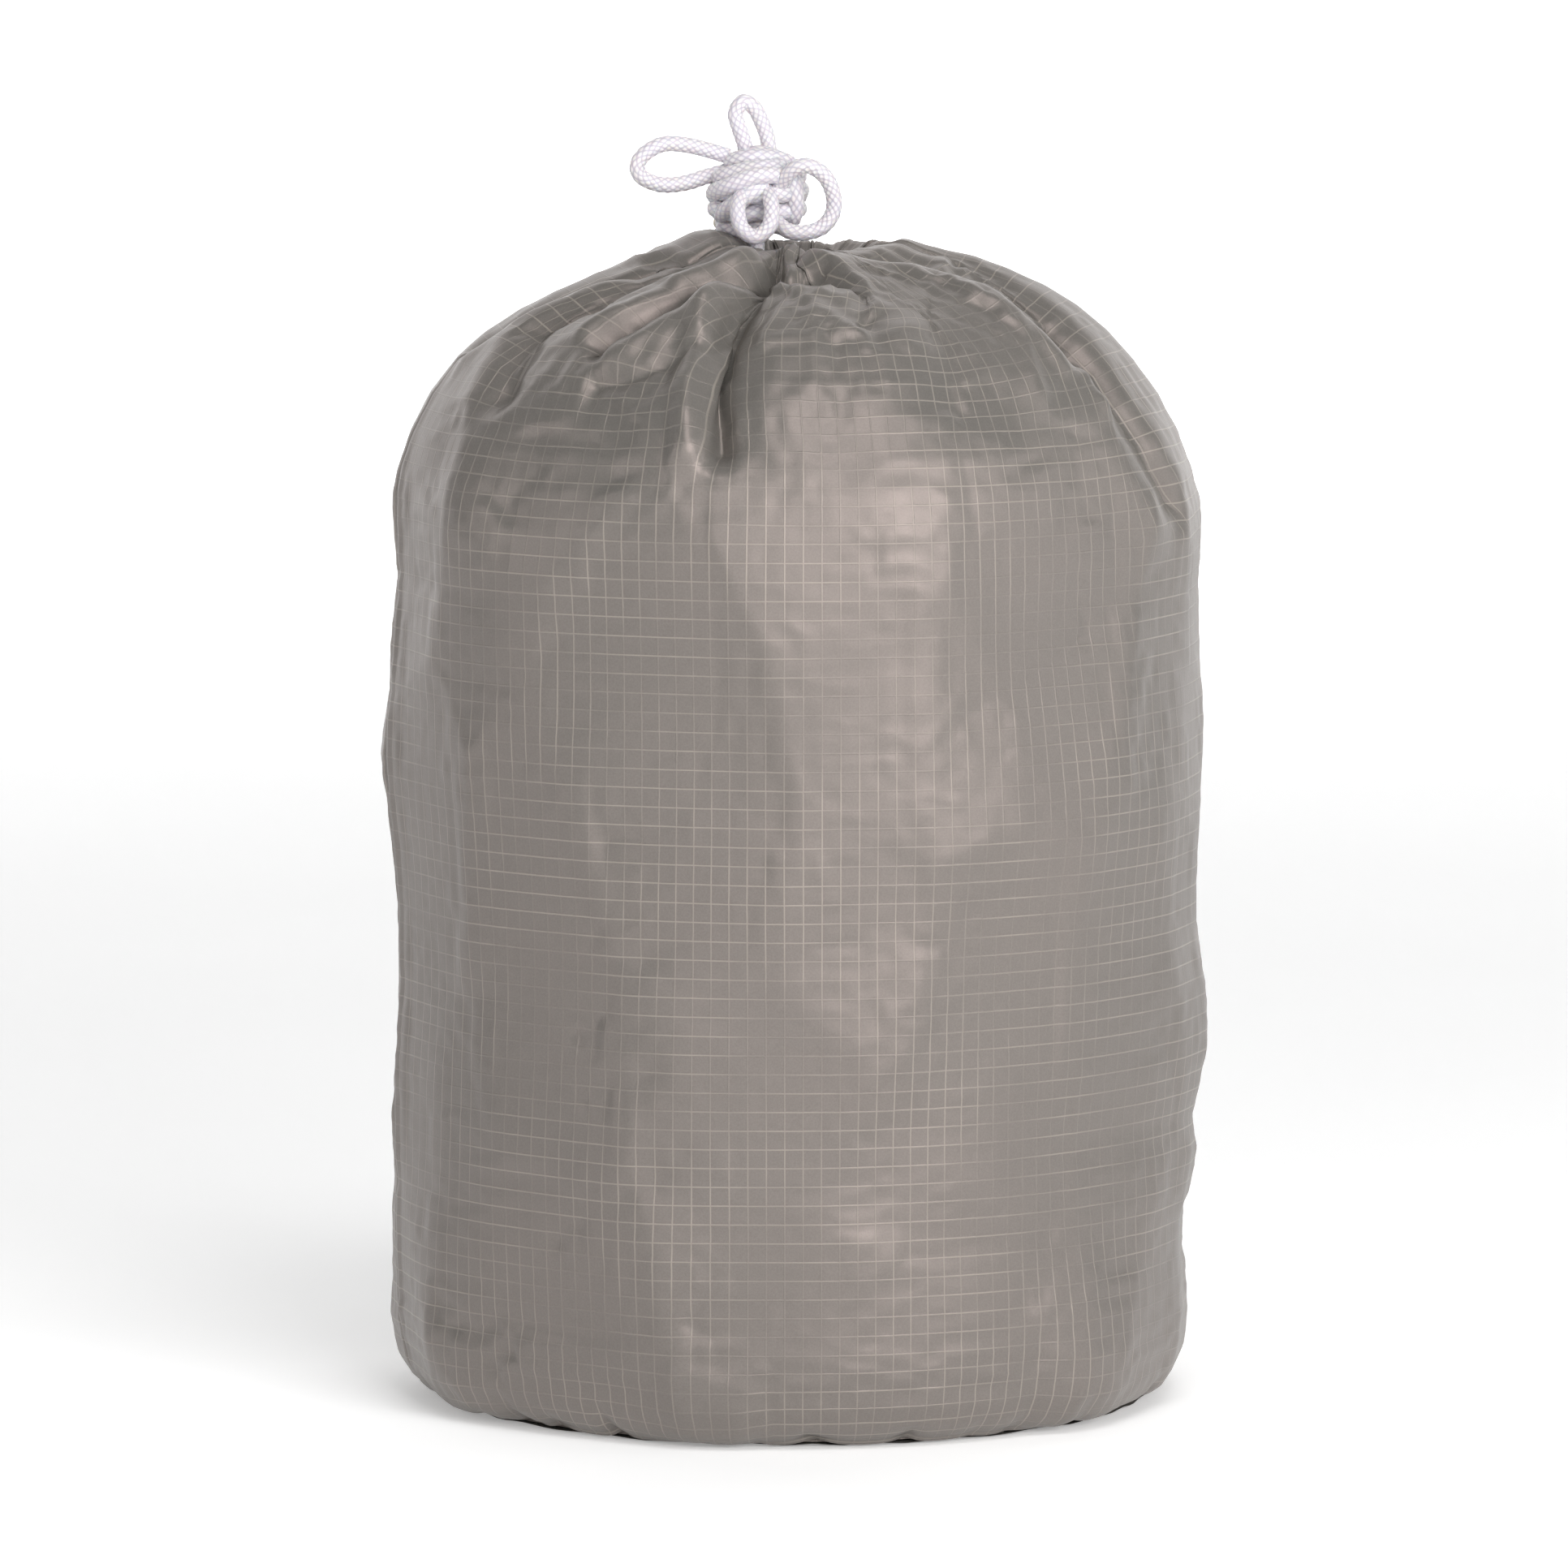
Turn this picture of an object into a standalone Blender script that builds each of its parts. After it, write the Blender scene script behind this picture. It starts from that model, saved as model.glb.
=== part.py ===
"""A stuff sack: a tube of ripstop fabric on a round base, gathered at the top on a knotted drawcord.

Metres, +Z up. The origin is the middle of the base, on the surface that the sack stands on.
The front is towards -Y. The sack keeps the shape that it has when it is packed full.
"""

import math

import bmesh
import bpy
from mathutils import Matrix, Vector

GAP = 0.0003  # between pieces that touch

# Driving dimensions of the fabric
SACK_RADIUS = 0.110
SHOULDER_START = 0.226  # height where the straight side turns into the shoulder
SHOULDER_RISE = 0.085
SHOULDER_SQUARENESS = 2.45  # exponent of the shoulder's superellipse: 2 is a plain ellipse
CORNER_RADIUS = 0.014  # where the side turns under, to the base seam
WALL = 0.0012
ROUND_STEPS = 56

# Channel: the hem at the mouth, gathered round the cord
MOUTH_RADIUS = 0.0112  # to the middle of the cord in its channel
MOUTH_HEIGHT = 0.3065
CHANNEL_OUTER = 0.0044
CHANNEL_INNER = 0.0026
GATHERS = 18
CHANNEL_STEPS = 3 * GATHERS
GATHER_DEPTH = 0.0003
PANEL_MOUTH_RADIUS = MOUTH_RADIUS + CHANNEL_OUTER + GATHER_DEPTH + GAP

# Pleats: shallow valleys in the shoulder, running out from the mouth
PLEATS = 14
PLEAT_DEPTH = 0.0035
PLEAT_REACH = 0.088

# Seams
SEAM_ALLOWANCE = 0.008
SEAM_THICKNESS = 0.0008
BASE_SEAM_RADIUS = SACK_RADIUS - CORNER_RADIUS - SEAM_THICKNESS - 2 * GAP
SIDE_SEAM_ANGLE = math.radians(190)  # on the left, a little to the front
SIDE_SEAM_TOP_RADIUS = 0.060  # the sewn edges end here, under the gathers
THREAD_RADIUS = 0.0004

# Buttonhole, on the left of the channel
SLOT_HALF_WIDTH = 0.0028
SLOT_HALF_LENGTH = 0.0056
BINDING_WIDTH = 0.0009
BINDING_THICKNESS = 0.0006

# Drawcord
CORD_RADIUS = 0.00215
LEG_SPREAD = 0.0026  # half the distance between the two legs
LEG_DEPTH = 0.0010  # how far the legs reach below the middle of the channel
LEG_CLEARANCE = 0.0010  # under the knot, so that it can tilt
KNOT_CENTRE = Vector((-0.0104, 0.0, 0.3285))
KNOT_RADIUS = 0.0137
KNOT_TURN_RADIUS = 0.0027
KNOT_TURNS = 5
KNOT_TURN_STEP = math.radians(27)
TIP_LENGTH = 0.0030

# Routes of the free stretches of cord, measured from the knot's centre. Each starts inside the knot,
# and a loop ends there too.
LEFT_LOOP = (
    (-0.0080, 0.0010, 0.0090), (-0.0140, 0.0006, 0.0108), (-0.0200, -0.0004, 0.0122),
    (-0.0258, -0.0014, 0.0124), (-0.0306, -0.0022, 0.0100), (-0.0328, -0.0024, 0.0066),
    (-0.0314, -0.0018, 0.0034), (-0.0262, -0.0006, 0.0014), (-0.0200, 0.0004, 0.0018),
    (-0.0146, 0.0010, 0.0034), (-0.0085, 0.0014, 0.0050),
)
TOP_LOOP = (
    (-0.0030, 0.0010, 0.0086), (-0.0040, 0.0004, 0.0130), (-0.0054, -0.0006, 0.0172),
    (-0.0062, -0.0010, 0.0208), (-0.0042, -0.0010, 0.0238), (-0.0012, 0.0000, 0.0222),
    (0.0008, 0.0012, 0.0184), (0.0024, 0.0020, 0.0140), (0.0030, 0.0018, 0.0086),
)
RIGHT_LOOP = (
    (0.0046, -0.0074, 0.0000), (0.0074, -0.0114, 0.0042), (0.0104, -0.0134, 0.0068),
    (0.0140, -0.0134, 0.0070), (0.0180, -0.0120, 0.0042), (0.0202, -0.0108, -0.0008),
    (0.0200, -0.0102, -0.0058), (0.0170, -0.0108, -0.0096), (0.0120, -0.0118, -0.0110),
    (0.0074, -0.0112, -0.0102), (0.0036, -0.0076, -0.0070),
)
FRONT_LOOP = (
    (-0.0036, -0.0090, -0.0004), (-0.0050, -0.0140, -0.0018), (-0.0056, -0.0172, -0.0050),
    (-0.0044, -0.0188, -0.0094), (-0.0008, -0.0192, -0.0116), (0.0028, -0.0184, -0.0090),
    (0.0036, -0.0164, -0.0046), (0.0030, -0.0134, -0.0012), (0.0020, -0.0086, 0.0004),
)
LEFT_TAIL = (
    (-0.0040, 0.0060, 0.0010), (-0.0052, 0.0110, 0.0016), (-0.0064, 0.0164, 0.0004),
    (-0.0072, 0.0214, -0.0032), (-0.0078, 0.0256, -0.0072), (-0.0088, 0.0302, -0.0100),
    (-0.0100, 0.0348, -0.0108),
)
RIGHT_TAIL = (
    (0.0030, 0.0064, 0.0034), (0.0036, 0.0116, 0.0046), (0.0044, 0.0172, 0.0040),
    (0.0054, 0.0224, 0.0006), (0.0062, 0.0266, -0.0040), (0.0070, 0.0310, -0.0084),
    (0.0082, 0.0352, -0.0112),
)

FABRIC = ("ripstop_fabric", (0.33, 0.31, 0.29), 0.5)
SEAM = ("seam_fabric", (0.24, 0.22, 0.21), 0.7)
THREAD = ("sewing_thread", (0.30, 0.28, 0.27), 0.6)
CORD = ("braided_cord", (0.86, 0.84, 0.86), 0.6)
MELTED = ("melted_cord", (0.78, 0.76, 0.76), 0.3)


def clear_scene():
    for obj in list(bpy.data.objects):
        bpy.data.objects.remove(obj, do_unlink=True)


def collection(name):
    made = bpy.data.collections.new(name)
    bpy.context.scene.collection.children.link(made)
    return made


def material(finish):
    name, colour, roughness = finish
    found = bpy.data.materials.get(name)
    if found:
        return found
    made = bpy.data.materials.new(name)
    made.use_nodes = True
    shader = made.node_tree.nodes["Principled BSDF"]
    shader.inputs["Base Color"].default_value = (*colour, 1)
    shader.inputs["Roughness"].default_value = roughness
    shader.inputs["Metallic"].default_value = 0
    return made


def add(name, data, finish):
    obj = bpy.data.objects.new(name, data)
    data.materials.append(material(finish))
    PARTS.objects.link(obj)
    return obj


def mesh_object(name, finish, fill):
    """A mesh object whose geometry fill() puts into an empty bmesh."""
    shape = bmesh.new()
    fill(shape)
    data = bpy.data.meshes.new(name)
    shape.to_mesh(data)
    shape.free()
    return add(name, data, finish)


def smooth(obj, degrees=40):
    obj.data.shade_smooth()
    obj.data.set_sharp_from_angle(angle=math.radians(degrees))
    return obj


def baked(obj):
    """The same object as a plain mesh: its curve or its modifiers made real, and loose caps welded."""
    bpy.context.view_layer.update()
    evaluated = obj.evaluated_get(bpy.context.evaluated_depsgraph_get())
    shape = bmesh.new()
    shape.from_mesh(bpy.data.meshes.new_from_object(evaluated))
    bmesh.ops.remove_doubles(shape, verts=shape.verts, dist=0.00001)
    name, place, finish = obj.name, obj.matrix_world.copy(), obj.data.materials[0]
    bpy.data.objects.remove(obj, do_unlink=True)
    data = bpy.data.meshes.new(name)
    shape.to_mesh(data)
    shape.free()
    data.materials.clear()
    data.materials.append(finish)
    made = bpy.data.objects.new(name, data)
    made.matrix_world = place
    PARTS.objects.link(made)
    return made


def cut(obj, cutter):
    if cutter.name in PARTS.objects:
        PARTS.objects.unlink(cutter)
        CUTTERS.objects.link(cutter)
    cutter.hide_render = True
    cutter.display_type = "WIRE"
    modifier = obj.modifiers.new("cut_" + cutter.name, "BOOLEAN")
    modifier.operation = "DIFFERENCE"
    modifier.solver = "EXACT"
    modifier.object = cutter


def turned(name, finish, profile, steps=ROUND_STEPS, angle=math.tau):
    """A profile of (distance from the axis, height) points, top to bottom, turned round the Z axis."""
    def fill(shape):
        verts = [shape.verts.new((r, 0, z)) for r, z in profile]
        for upper, lower in zip(verts, verts[1:]):
            shape.edges.new((upper, lower))
    obj = mesh_object(name, finish, fill)
    spin = obj.modifiers.new("turn", "SCREW")
    spin.axis = "Z"
    spin.angle = angle
    spin.steps = spin.render_steps = steps
    spin.use_merge_vertices = True
    spin.merge_threshold = 0.00001
    return obj


def thicken(obj, thickness, offset):
    """Offset -1 adds the thickness inside the surface, and 0 half on each side."""
    solid = obj.modifiers.new("thickness", "SOLIDIFY")
    solid.thickness = thickness
    solid.offset = offset
    solid.use_even_offset = True
    return solid


def ring(name, finish, radius, section, height, steps, sides, gather=0.0):
    """A closed ring of round section. With gather, its outside swells and shrinks GATHERS times."""
    around = [math.tau * i / sides for i in range(sides)]

    def fill(shape):
        verts = [
            shape.verts.new((radius + section * math.cos(a), 0, section * math.sin(a))) for a in around
        ]
        edges = [shape.edges.new((verts[i - 1], verts[i])) for i in range(sides)]
        bmesh.ops.spin(
            shape, geom=verts + edges, cent=(0, 0, 0), axis=(0, 0, 1), angle=math.tau,
            steps=steps, use_merge=True,
        )
        bmesh.ops.remove_doubles(shape, verts=shape.verts, dist=0.00001)
        bmesh.ops.recalc_face_normals(shape, faces=shape.faces)
        for vertex in shape.verts:
            swell = gather * math.cos(GATHERS * math.atan2(vertex.co.y, vertex.co.x))
            middle = Vector((vertex.co.x, vertex.co.y, 0)).normalized() * radius
            vertex.co = middle + (vertex.co - middle) * (1 + swell / section)
    made = mesh_object(name, finish, fill)
    made.location.z = height
    return smooth(made)


# Fabric


def shoulder(degrees):
    """Point of the shoulder's outline, from 0 at the side to 90 at the top."""
    power = 2 / SHOULDER_SQUARENESS
    return (
        SACK_RADIUS * math.cos(math.radians(degrees)) ** power,
        SHOULDER_START + SHOULDER_RISE * math.sin(math.radians(degrees)) ** power,
    )


def side_profile(inset=0.0):
    """Outline of the sack from the channel down to the base seam, moved inwards by inset."""
    outline = [(PANEL_MOUTH_RADIUS, MOUTH_HEIGHT + 0.0012)]
    outline += [shoulder(a) for a in (82.5, 78, 72, 65, 56, 46, 35, 23, 10)]
    outline += [(SACK_RADIUS, SHOULDER_START * share) for share in (0.98, 0.66, 0.34)]
    for degrees in (0, 22.5, 45, 67.5, 90):
        a = math.radians(degrees)
        outline.append((
            SACK_RADIUS - CORNER_RADIUS * (1 - math.cos(a)),
            CORNER_RADIUS * (1 - math.sin(a)),
        ))
    moved = []
    for i, (r, z) in enumerate(outline):
        before = outline[max(i - 1, 0)]
        after = outline[min(i + 1, len(outline) - 1)]
        along = Vector((after[0] - before[0], after[1] - before[1])).normalized()
        moved.append((r + inset * along[1], z - inset * along[0]))
    return moved


def pleated(point):
    """The point, sunk if it lies in a valley between two pleats."""
    reach = math.hypot(point.x, point.y)
    inner = min(1.0, max(0.0, (reach - PANEL_MOUTH_RADIUS) / 0.012))
    outer = min(1.0, max(0.0, (PLEAT_REACH - reach) / 0.055))
    valley = 0.5 - 0.5 * math.cos(PLEATS * math.atan2(point.y, point.x))
    return Vector((point.x, point.y, point.z - PLEAT_DEPTH * inner * outer**2 * valley))


def make_body_panel():
    """The tube of ripstop with its gathered top: one sheet from the channel to the base seam."""
    panel = baked(turned("body_panel", FABRIC, side_profile()))
    for vertex in panel.data.vertices:
        vertex.co = pleated(vertex.co)
    thicken(panel, WALL, -1)
    smooth(panel)


def make_base_panel():
    """The round base, which the side turns under to meet."""
    radius = SACK_RADIUS - CORNER_RADIUS - GAP

    def fill(shape):
        bmesh.ops.create_cone(
            shape, cap_ends=True, segments=ROUND_STEPS, radius1=radius, radius2=radius, depth=WALL,
            matrix=Matrix.Translation((0, 0, WALL / 2)),
        )
    smooth(mesh_object("base_panel", FABRIC, fill))


def make_base_seam():
    """The sewn edges of side and base, which stand up inside the sack, and their row of stitches."""
    middle = BASE_SEAM_RADIUS + SEAM_THICKNESS / 2
    bottom = WALL + GAP
    edges = turned("base_seam_allowance", SEAM, [(middle, bottom + SEAM_ALLOWANCE), (middle, bottom)])
    thicken(edges, SEAM_THICKNESS, 0)
    smooth(edges)
    stitches = BASE_SEAM_RADIUS - GAP - THREAD_RADIUS
    ring("base_seam_thread", THREAD, stitches, THREAD_RADIUS, bottom + SEAM_ALLOWANCE / 2, ROUND_STEPS, 4)


def make_side_seam():
    """The sewn edges of the side, folded flat on the wall inside, and their row of stitches."""
    lowest = WALL + SEAM_ALLOWANCE + CORNER_RADIUS
    on_wall = [p for p in side_profile(WALL + 2 * GAP) if p[1] > lowest and p[0] > SIDE_SEAM_TOP_RADIUS]
    width = SEAM_ALLOWANCE / SACK_RADIUS
    edges = turned("side_seam_allowance", SEAM, on_wall, 4, width)
    thicken(edges, SEAM_THICKNESS, -1)
    edges.rotation_euler.z = SIDE_SEAM_ANGLE - width / 2
    smooth(edges)
    inset = WALL + 4 * GAP + SEAM_THICKNESS + THREAD_RADIUS
    stitches = [
        Vector((r, 0, z)) for r, z in side_profile(inset) if z > lowest and r > SIDE_SEAM_TOP_RADIUS
    ]
    thread = cord("side_seam_thread", stitches, THREAD, THREAD_RADIUS, 1)
    thread.rotation_euler.z = SIDE_SEAM_ANGLE


# Mouth


def make_channel():
    """The hem that holds the cord, open at a buttonhole, and the stitches that close it below."""
    channel = ring(
        "cord_channel", FABRIC, MOUTH_RADIUS, CHANNEL_OUTER, MOUTH_HEIGHT, CHANNEL_STEPS, 12, GATHER_DEPTH
    )
    cut(channel, ring("channel_hollow", FABRIC, MOUTH_RADIUS, CHANNEL_INNER, MOUTH_HEIGHT, CHANNEL_STEPS, 10))
    height = 3 * CHANNEL_OUTER

    def fill(shape):
        size = Matrix.Diagonal((2 * SLOT_HALF_WIDTH, 2 * SLOT_HALF_LENGTH, height, 1))
        place = Matrix.Translation((-MOUTH_RADIUS, 0, MOUTH_HEIGHT + height / 2))
        bmesh.ops.create_cube(shape, size=1, matrix=place @ size)
    cut(channel, mesh_object("buttonhole_cutter", FABRIC, fill))
    below = MOUTH_HEIGHT - CHANNEL_OUTER - GATHER_DEPTH - GAP - THREAD_RADIUS
    ring("channel_thread", THREAD, MOUTH_RADIUS, THREAD_RADIUS, below, CHANNEL_STEPS, 4)


def make_buttonhole():
    """The thread worked round the buttonhole, on top of the channel."""
    corners = 32
    inner = SLOT_HALF_WIDTH + GAP
    straight = SLOT_HALF_LENGTH - SLOT_HALF_WIDTH

    def outline(shape, radius):
        verts = []
        for i in range(corners):
            a = math.tau * (i + 0.5) / corners
            x = radius * math.cos(a)
            y = radius * math.sin(a) + math.copysign(straight, math.sin(a))
            verts.append(shape.verts.new((x, y, 0)))
        return verts

    def fill(shape):
        near, far = outline(shape, inner), outline(shape, inner + BINDING_WIDTH)
        for i in range(corners):
            shape.faces.new((near[i - 1], far[i - 1], far[i], near[i]))
    binding = mesh_object("buttonhole_stitching", THREAD, fill)
    thicken(binding, BINDING_THICKNESS, 0)
    top = MOUTH_HEIGHT + CHANNEL_OUTER + GATHER_DEPTH
    binding.location = (-MOUTH_RADIUS, 0, top + GAP + BINDING_THICKNESS / 2)


# Drawcord


def smoothed(route, step):
    """Points about step apart on a Catmull-Rom curve through the route's own points."""
    ends = [route[0] * 2 - route[1], *route, route[-1] * 2 - route[-2]]
    found = []
    for p0, p1, p2, p3 in zip(ends, ends[1:], ends[2:], ends[3:]):
        parts = max(1, round((p2 - p1).length / step))
        for i in range(parts):
            t = i / parts
            bend = 2 * p0 - 5 * p1 + 4 * p2 - p3
            twist = 3 * p1 - p0 - 3 * p2 + p3
            found.append((2 * p1 + (p2 - p0) * t + bend * t**2 + twist * t**3) / 2)
    return [*found, route[-1]]


def cord(name, points, finish=CORD, radius=CORD_RADIUS, roundness=2):
    curve = bpy.data.curves.new(name, "CURVE")
    curve.dimensions = "3D"
    curve.bevel_depth = radius
    curve.bevel_resolution = roundness
    curve.use_fill_caps = True
    spline = curve.splines.new("POLY")
    spline.points.add(len(points) - 1)
    for place, point in zip(spline.points, points):
        place.co = (*point, 1)
    return add(name, curve, finish)


def free_cord(name, route, step=0.0032):
    """A stretch of cord that leaves the knot, cut off just clear of the knot's surface."""
    made = cord(name, smoothed([KNOT_CENTRE + Vector(p) for p in route], step))
    cut(baked(made), KNOT_ROOM)


def knot_room():
    """The ball that the stretches of cord keep out of: a little larger than the knot."""
    def fill(shape):
        bmesh.ops.create_uvsphere(shape, u_segments=48, v_segments=32, radius=KNOT_RADIUS + 2 * GAP)
    ball = mesh_object("knot_room", CORD, fill)
    ball.location = KNOT_CENTRE
    return ball


def make_hidden_cord():
    """The cord in its channel, round the mouth from one end of the buttonhole to the other."""
    clear = math.asin((SLOT_HALF_LENGTH + GAP) / MOUTH_RADIUS)
    turns = 36
    points = []
    for i in range(turns + 1):
        a = -math.pi + clear + (math.tau - 2 * clear) * i / turns
        points.append(Vector((MOUTH_RADIUS * math.cos(a), MOUTH_RADIUS * math.sin(a), MOUTH_HEIGHT)))
    cord("drawcord_in_channel", points)


def make_legs():
    """The two ends of the drawcord, up from the channel to the knot."""
    x = -math.sqrt(MOUTH_RADIUS**2 - LEG_SPREAD**2)
    bottom = MOUTH_HEIGHT - LEG_DEPTH
    top = KNOT_CENTRE.z - KNOT_RADIUS - LEG_CLEARANCE
    for name, side in (("front_cord_leg", -1), ("rear_cord_leg", 1)):
        cord(name, [Vector((x, side * LEG_SPREAD, z)) for z in (bottom, (bottom + top) / 2, top)])


def make_knot():
    """The knot as one solid, ribbed where its turns of cord lie on each other."""
    reach = KNOT_RADIUS - KNOT_TURN_RADIUS
    levels = [(i - (KNOT_TURNS - 1) / 2) * KNOT_TURN_STEP for i in range(KNOT_TURNS)]
    turns = [Vector((reach * math.cos(a), reach * math.sin(a))) for a in levels]

    def surface(degrees):
        """How far the outermost turn reaches from the knot's centre in this direction."""
        way = Vector((math.cos(math.radians(degrees)), math.sin(math.radians(degrees))))
        found = 0.0
        for turn in turns:
            off = turn.cross(way) if way.length else 0.0
            if abs(off) < KNOT_TURN_RADIUS:
                found = max(found, turn.dot(way) + math.sqrt(KNOT_TURN_RADIUS**2 - off**2))
        return found

    end = math.degrees(levels[-1]) + 10
    steps = 28
    angles = [end - 2 * end * i / steps for i in range(steps + 1)]
    outline = [
        (surface(a) * math.cos(math.radians(a)), surface(a) * math.sin(math.radians(a))) for a in angles
    ]
    profile = [(0.0, outline[0][1]), *outline, (0.0, outline[-1][1])]
    knot = turned("knot", CORD, profile, 24)
    knot.location = KNOT_CENTRE
    smooth(knot)


def make_tail(side, route):
    """One end of the cord, behind the knot, and the bead that its melted end makes."""
    free_cord(side + "_tail", route)
    end = KNOT_CENTRE + Vector(route[-1])
    along = (end - KNOT_CENTRE - Vector(route[-2])).normalized()

    def fill(shape):
        bmesh.ops.create_uvsphere(shape, u_segments=12, v_segments=8, radius=CORD_RADIUS)
        for vertex in shape.verts:
            vertex.co.z *= TIP_LENGTH / 2 / CORD_RADIUS
    tip = mesh_object(side + "_cord_tip", MELTED, fill)
    tip.location = end + along * (TIP_LENGTH / 2 + GAP)
    tip.rotation_euler = along.to_track_quat("Z", "Y").to_euler()
    smooth(tip)


clear_scene()
PARTS = collection("stuff_sack")
CUTTERS = collection("cutters")
KNOT_ROOM = knot_room()
make_body_panel()
make_base_panel()
make_base_seam()
make_side_seam()
make_channel()
make_buttonhole()
make_hidden_cord()
make_legs()
make_knot()
free_cord("left_loop", LEFT_LOOP)
free_cord("top_loop", TOP_LOOP)
free_cord("right_loop", RIGHT_LOOP)
free_cord("front_loop", FRONT_LOOP)
make_tail("left", LEFT_TAIL)
make_tail("right", RIGHT_TAIL)
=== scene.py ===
import math

import bpy
import numpy as np
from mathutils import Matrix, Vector, noise


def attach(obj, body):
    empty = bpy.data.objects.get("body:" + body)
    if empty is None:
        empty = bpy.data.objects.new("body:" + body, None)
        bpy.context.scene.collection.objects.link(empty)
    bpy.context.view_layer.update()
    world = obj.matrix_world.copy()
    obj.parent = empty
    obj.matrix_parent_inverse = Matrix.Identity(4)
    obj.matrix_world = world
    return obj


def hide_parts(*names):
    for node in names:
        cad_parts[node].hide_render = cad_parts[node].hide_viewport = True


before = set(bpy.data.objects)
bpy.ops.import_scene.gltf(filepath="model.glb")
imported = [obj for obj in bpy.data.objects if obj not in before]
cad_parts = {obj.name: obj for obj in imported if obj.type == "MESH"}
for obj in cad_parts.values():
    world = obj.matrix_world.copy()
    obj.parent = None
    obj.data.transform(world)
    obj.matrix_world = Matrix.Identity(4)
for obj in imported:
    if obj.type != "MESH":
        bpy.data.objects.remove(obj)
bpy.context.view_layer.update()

# Stuff sack of grey ripstop nylon, packed full, gathered and tied with white braided cord.
# Metres, +Z up, front towards -Y. Angles round the sack start at the front and grow to the right.

mm = 0.001


def linear(hexColour):
    channels = [int(hexColour[i:i + 2], 16) / 255 for i in (1, 3, 5)]
    return tuple(c / 12.92 if c <= 0.04045 else ((c + 0.055) / 1.055) ** 2.4 for c in channels) + (1.0,)


def newMaterial(name):
    made = bpy.data.materials.new(name)
    made.use_nodes = True
    made.node_tree.nodes.clear()
    return made


def node(material, kind, settings=None, inputs=None):
    made = material.node_tree.nodes.new(kind)
    for key, value in (settings or {}).items():
        setattr(made, key, value)
    for key, value in (inputs or {}).items():
        if isinstance(value, bpy.types.NodeSocket):
            material.node_tree.links.new(value, made.inputs[key])
        else:
            made.inputs[key].default_value = value
    return made


def linked(name, data):
    made = bpy.data.objects.new(name, data)
    bpy.context.scene.collection.objects.link(made)
    return made


def fit(piece, body, standsFor):
    # the piece moves with this body, and takes the place of the CAD node and its finish
    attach(piece, body)
    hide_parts(standsFor)


def smoothStep(low, high, value):
    t = np.clip((np.asarray(value, float) - low) / (high - low), 0, 1)
    return t * t * (3 - 2 * t)


# ---- camera
camera = {
    "place": (-0.0035, -2.93, 0.49),
    "tiltDown": 6.30,      # degrees
    "lens": 248.3,
}


def makeCamera():
    data = bpy.data.cameras.new("camera")
    data.lens = camera["lens"]
    data.sensor_width = 36
    made = linked("camera", data)
    made.location = camera["place"]
    made.rotation_euler = (math.radians(90 - camera["tiltDown"]), 0, 0)
    bpy.context.scene.camera = made


makeCamera()
print("camera placed")

# ---- cord
cord = {
    "radius": 2.15 * mm,
    "carriers": 8,            # pairs of strands round the cord
    "stitch": 2.3 * mm,       # length of one diamond of the braid
    "relief": 0.26 * mm,
    "around": 48,
    "step": 0.28 * mm,
    "cooler": "#DAD6E0",
    "warmer": "#E4E0D8",
    # painted shade: the darker colour laid into the braid's grooves
    "paintedGrooveShade": "#A9A2B4",
}
knotCentre = Vector((-0.0104, 0.0, 0.3285))

# Routes from the knot's centre, the same as the CAD solids follow
routes = {
    "left_loop": (
        (-0.0080, 0.0010, 0.0090), (-0.0140, 0.0006, 0.0108), (-0.0200, -0.0004, 0.0122),
        (-0.0258, -0.0014, 0.0124), (-0.0306, -0.0022, 0.0100), (-0.0328, -0.0024, 0.0066),
        (-0.0314, -0.0018, 0.0034), (-0.0262, -0.0006, 0.0014), (-0.0200, 0.0004, 0.0018),
        (-0.0146, 0.0010, 0.0034), (-0.0085, 0.0014, 0.0050),
    ),
    "top_loop": (
        (-0.0030, 0.0010, 0.0086), (-0.0040, 0.0004, 0.0130), (-0.0054, -0.0006, 0.0172),
        (-0.0062, -0.0010, 0.0208), (-0.0042, -0.0010, 0.0238), (-0.0012, 0.0000, 0.0222),
        (0.0008, 0.0012, 0.0184), (0.0024, 0.0020, 0.0140), (0.0030, 0.0018, 0.0086),
    ),
    "right_loop": (
        (0.0046, -0.0074, 0.0000), (0.0074, -0.0114, 0.0042), (0.0104, -0.0134, 0.0068),
        (0.0140, -0.0134, 0.0070), (0.0180, -0.0120, 0.0042), (0.0202, -0.0108, -0.0008),
        (0.0200, -0.0102, -0.0058), (0.0170, -0.0108, -0.0096), (0.0120, -0.0118, -0.0110),
        (0.0074, -0.0112, -0.0102), (0.0036, -0.0076, -0.0070),
    ),
    "front_loop": (
        (-0.0036, -0.0090, -0.0004), (-0.0050, -0.0140, -0.0018), (-0.0056, -0.0172, -0.0050),
        (-0.0044, -0.0188, -0.0094), (-0.0008, -0.0192, -0.0116), (0.0028, -0.0184, -0.0090),
        (0.0036, -0.0164, -0.0046), (0.0030, -0.0134, -0.0012), (0.0020, -0.0086, 0.0004),
    ),
    "left_tail": (
        (-0.0040, 0.0060, 0.0010), (-0.0052, 0.0110, 0.0016), (-0.0064, 0.0164, 0.0004),
        (-0.0072, 0.0214, -0.0032), (-0.0078, 0.0256, -0.0072), (-0.0088, 0.0302, -0.0100),
        (-0.0100, 0.0348, -0.0108),
    ),
    "right_tail": (
        (0.0030, 0.0064, 0.0034), (0.0036, 0.0116, 0.0046), (0.0044, 0.0172, 0.0040),
        (0.0054, 0.0224, 0.0006), (0.0062, 0.0266, -0.0040), (0.0070, 0.0310, -0.0084),
        (0.0082, 0.0352, -0.0112),
    ),
}


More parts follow.
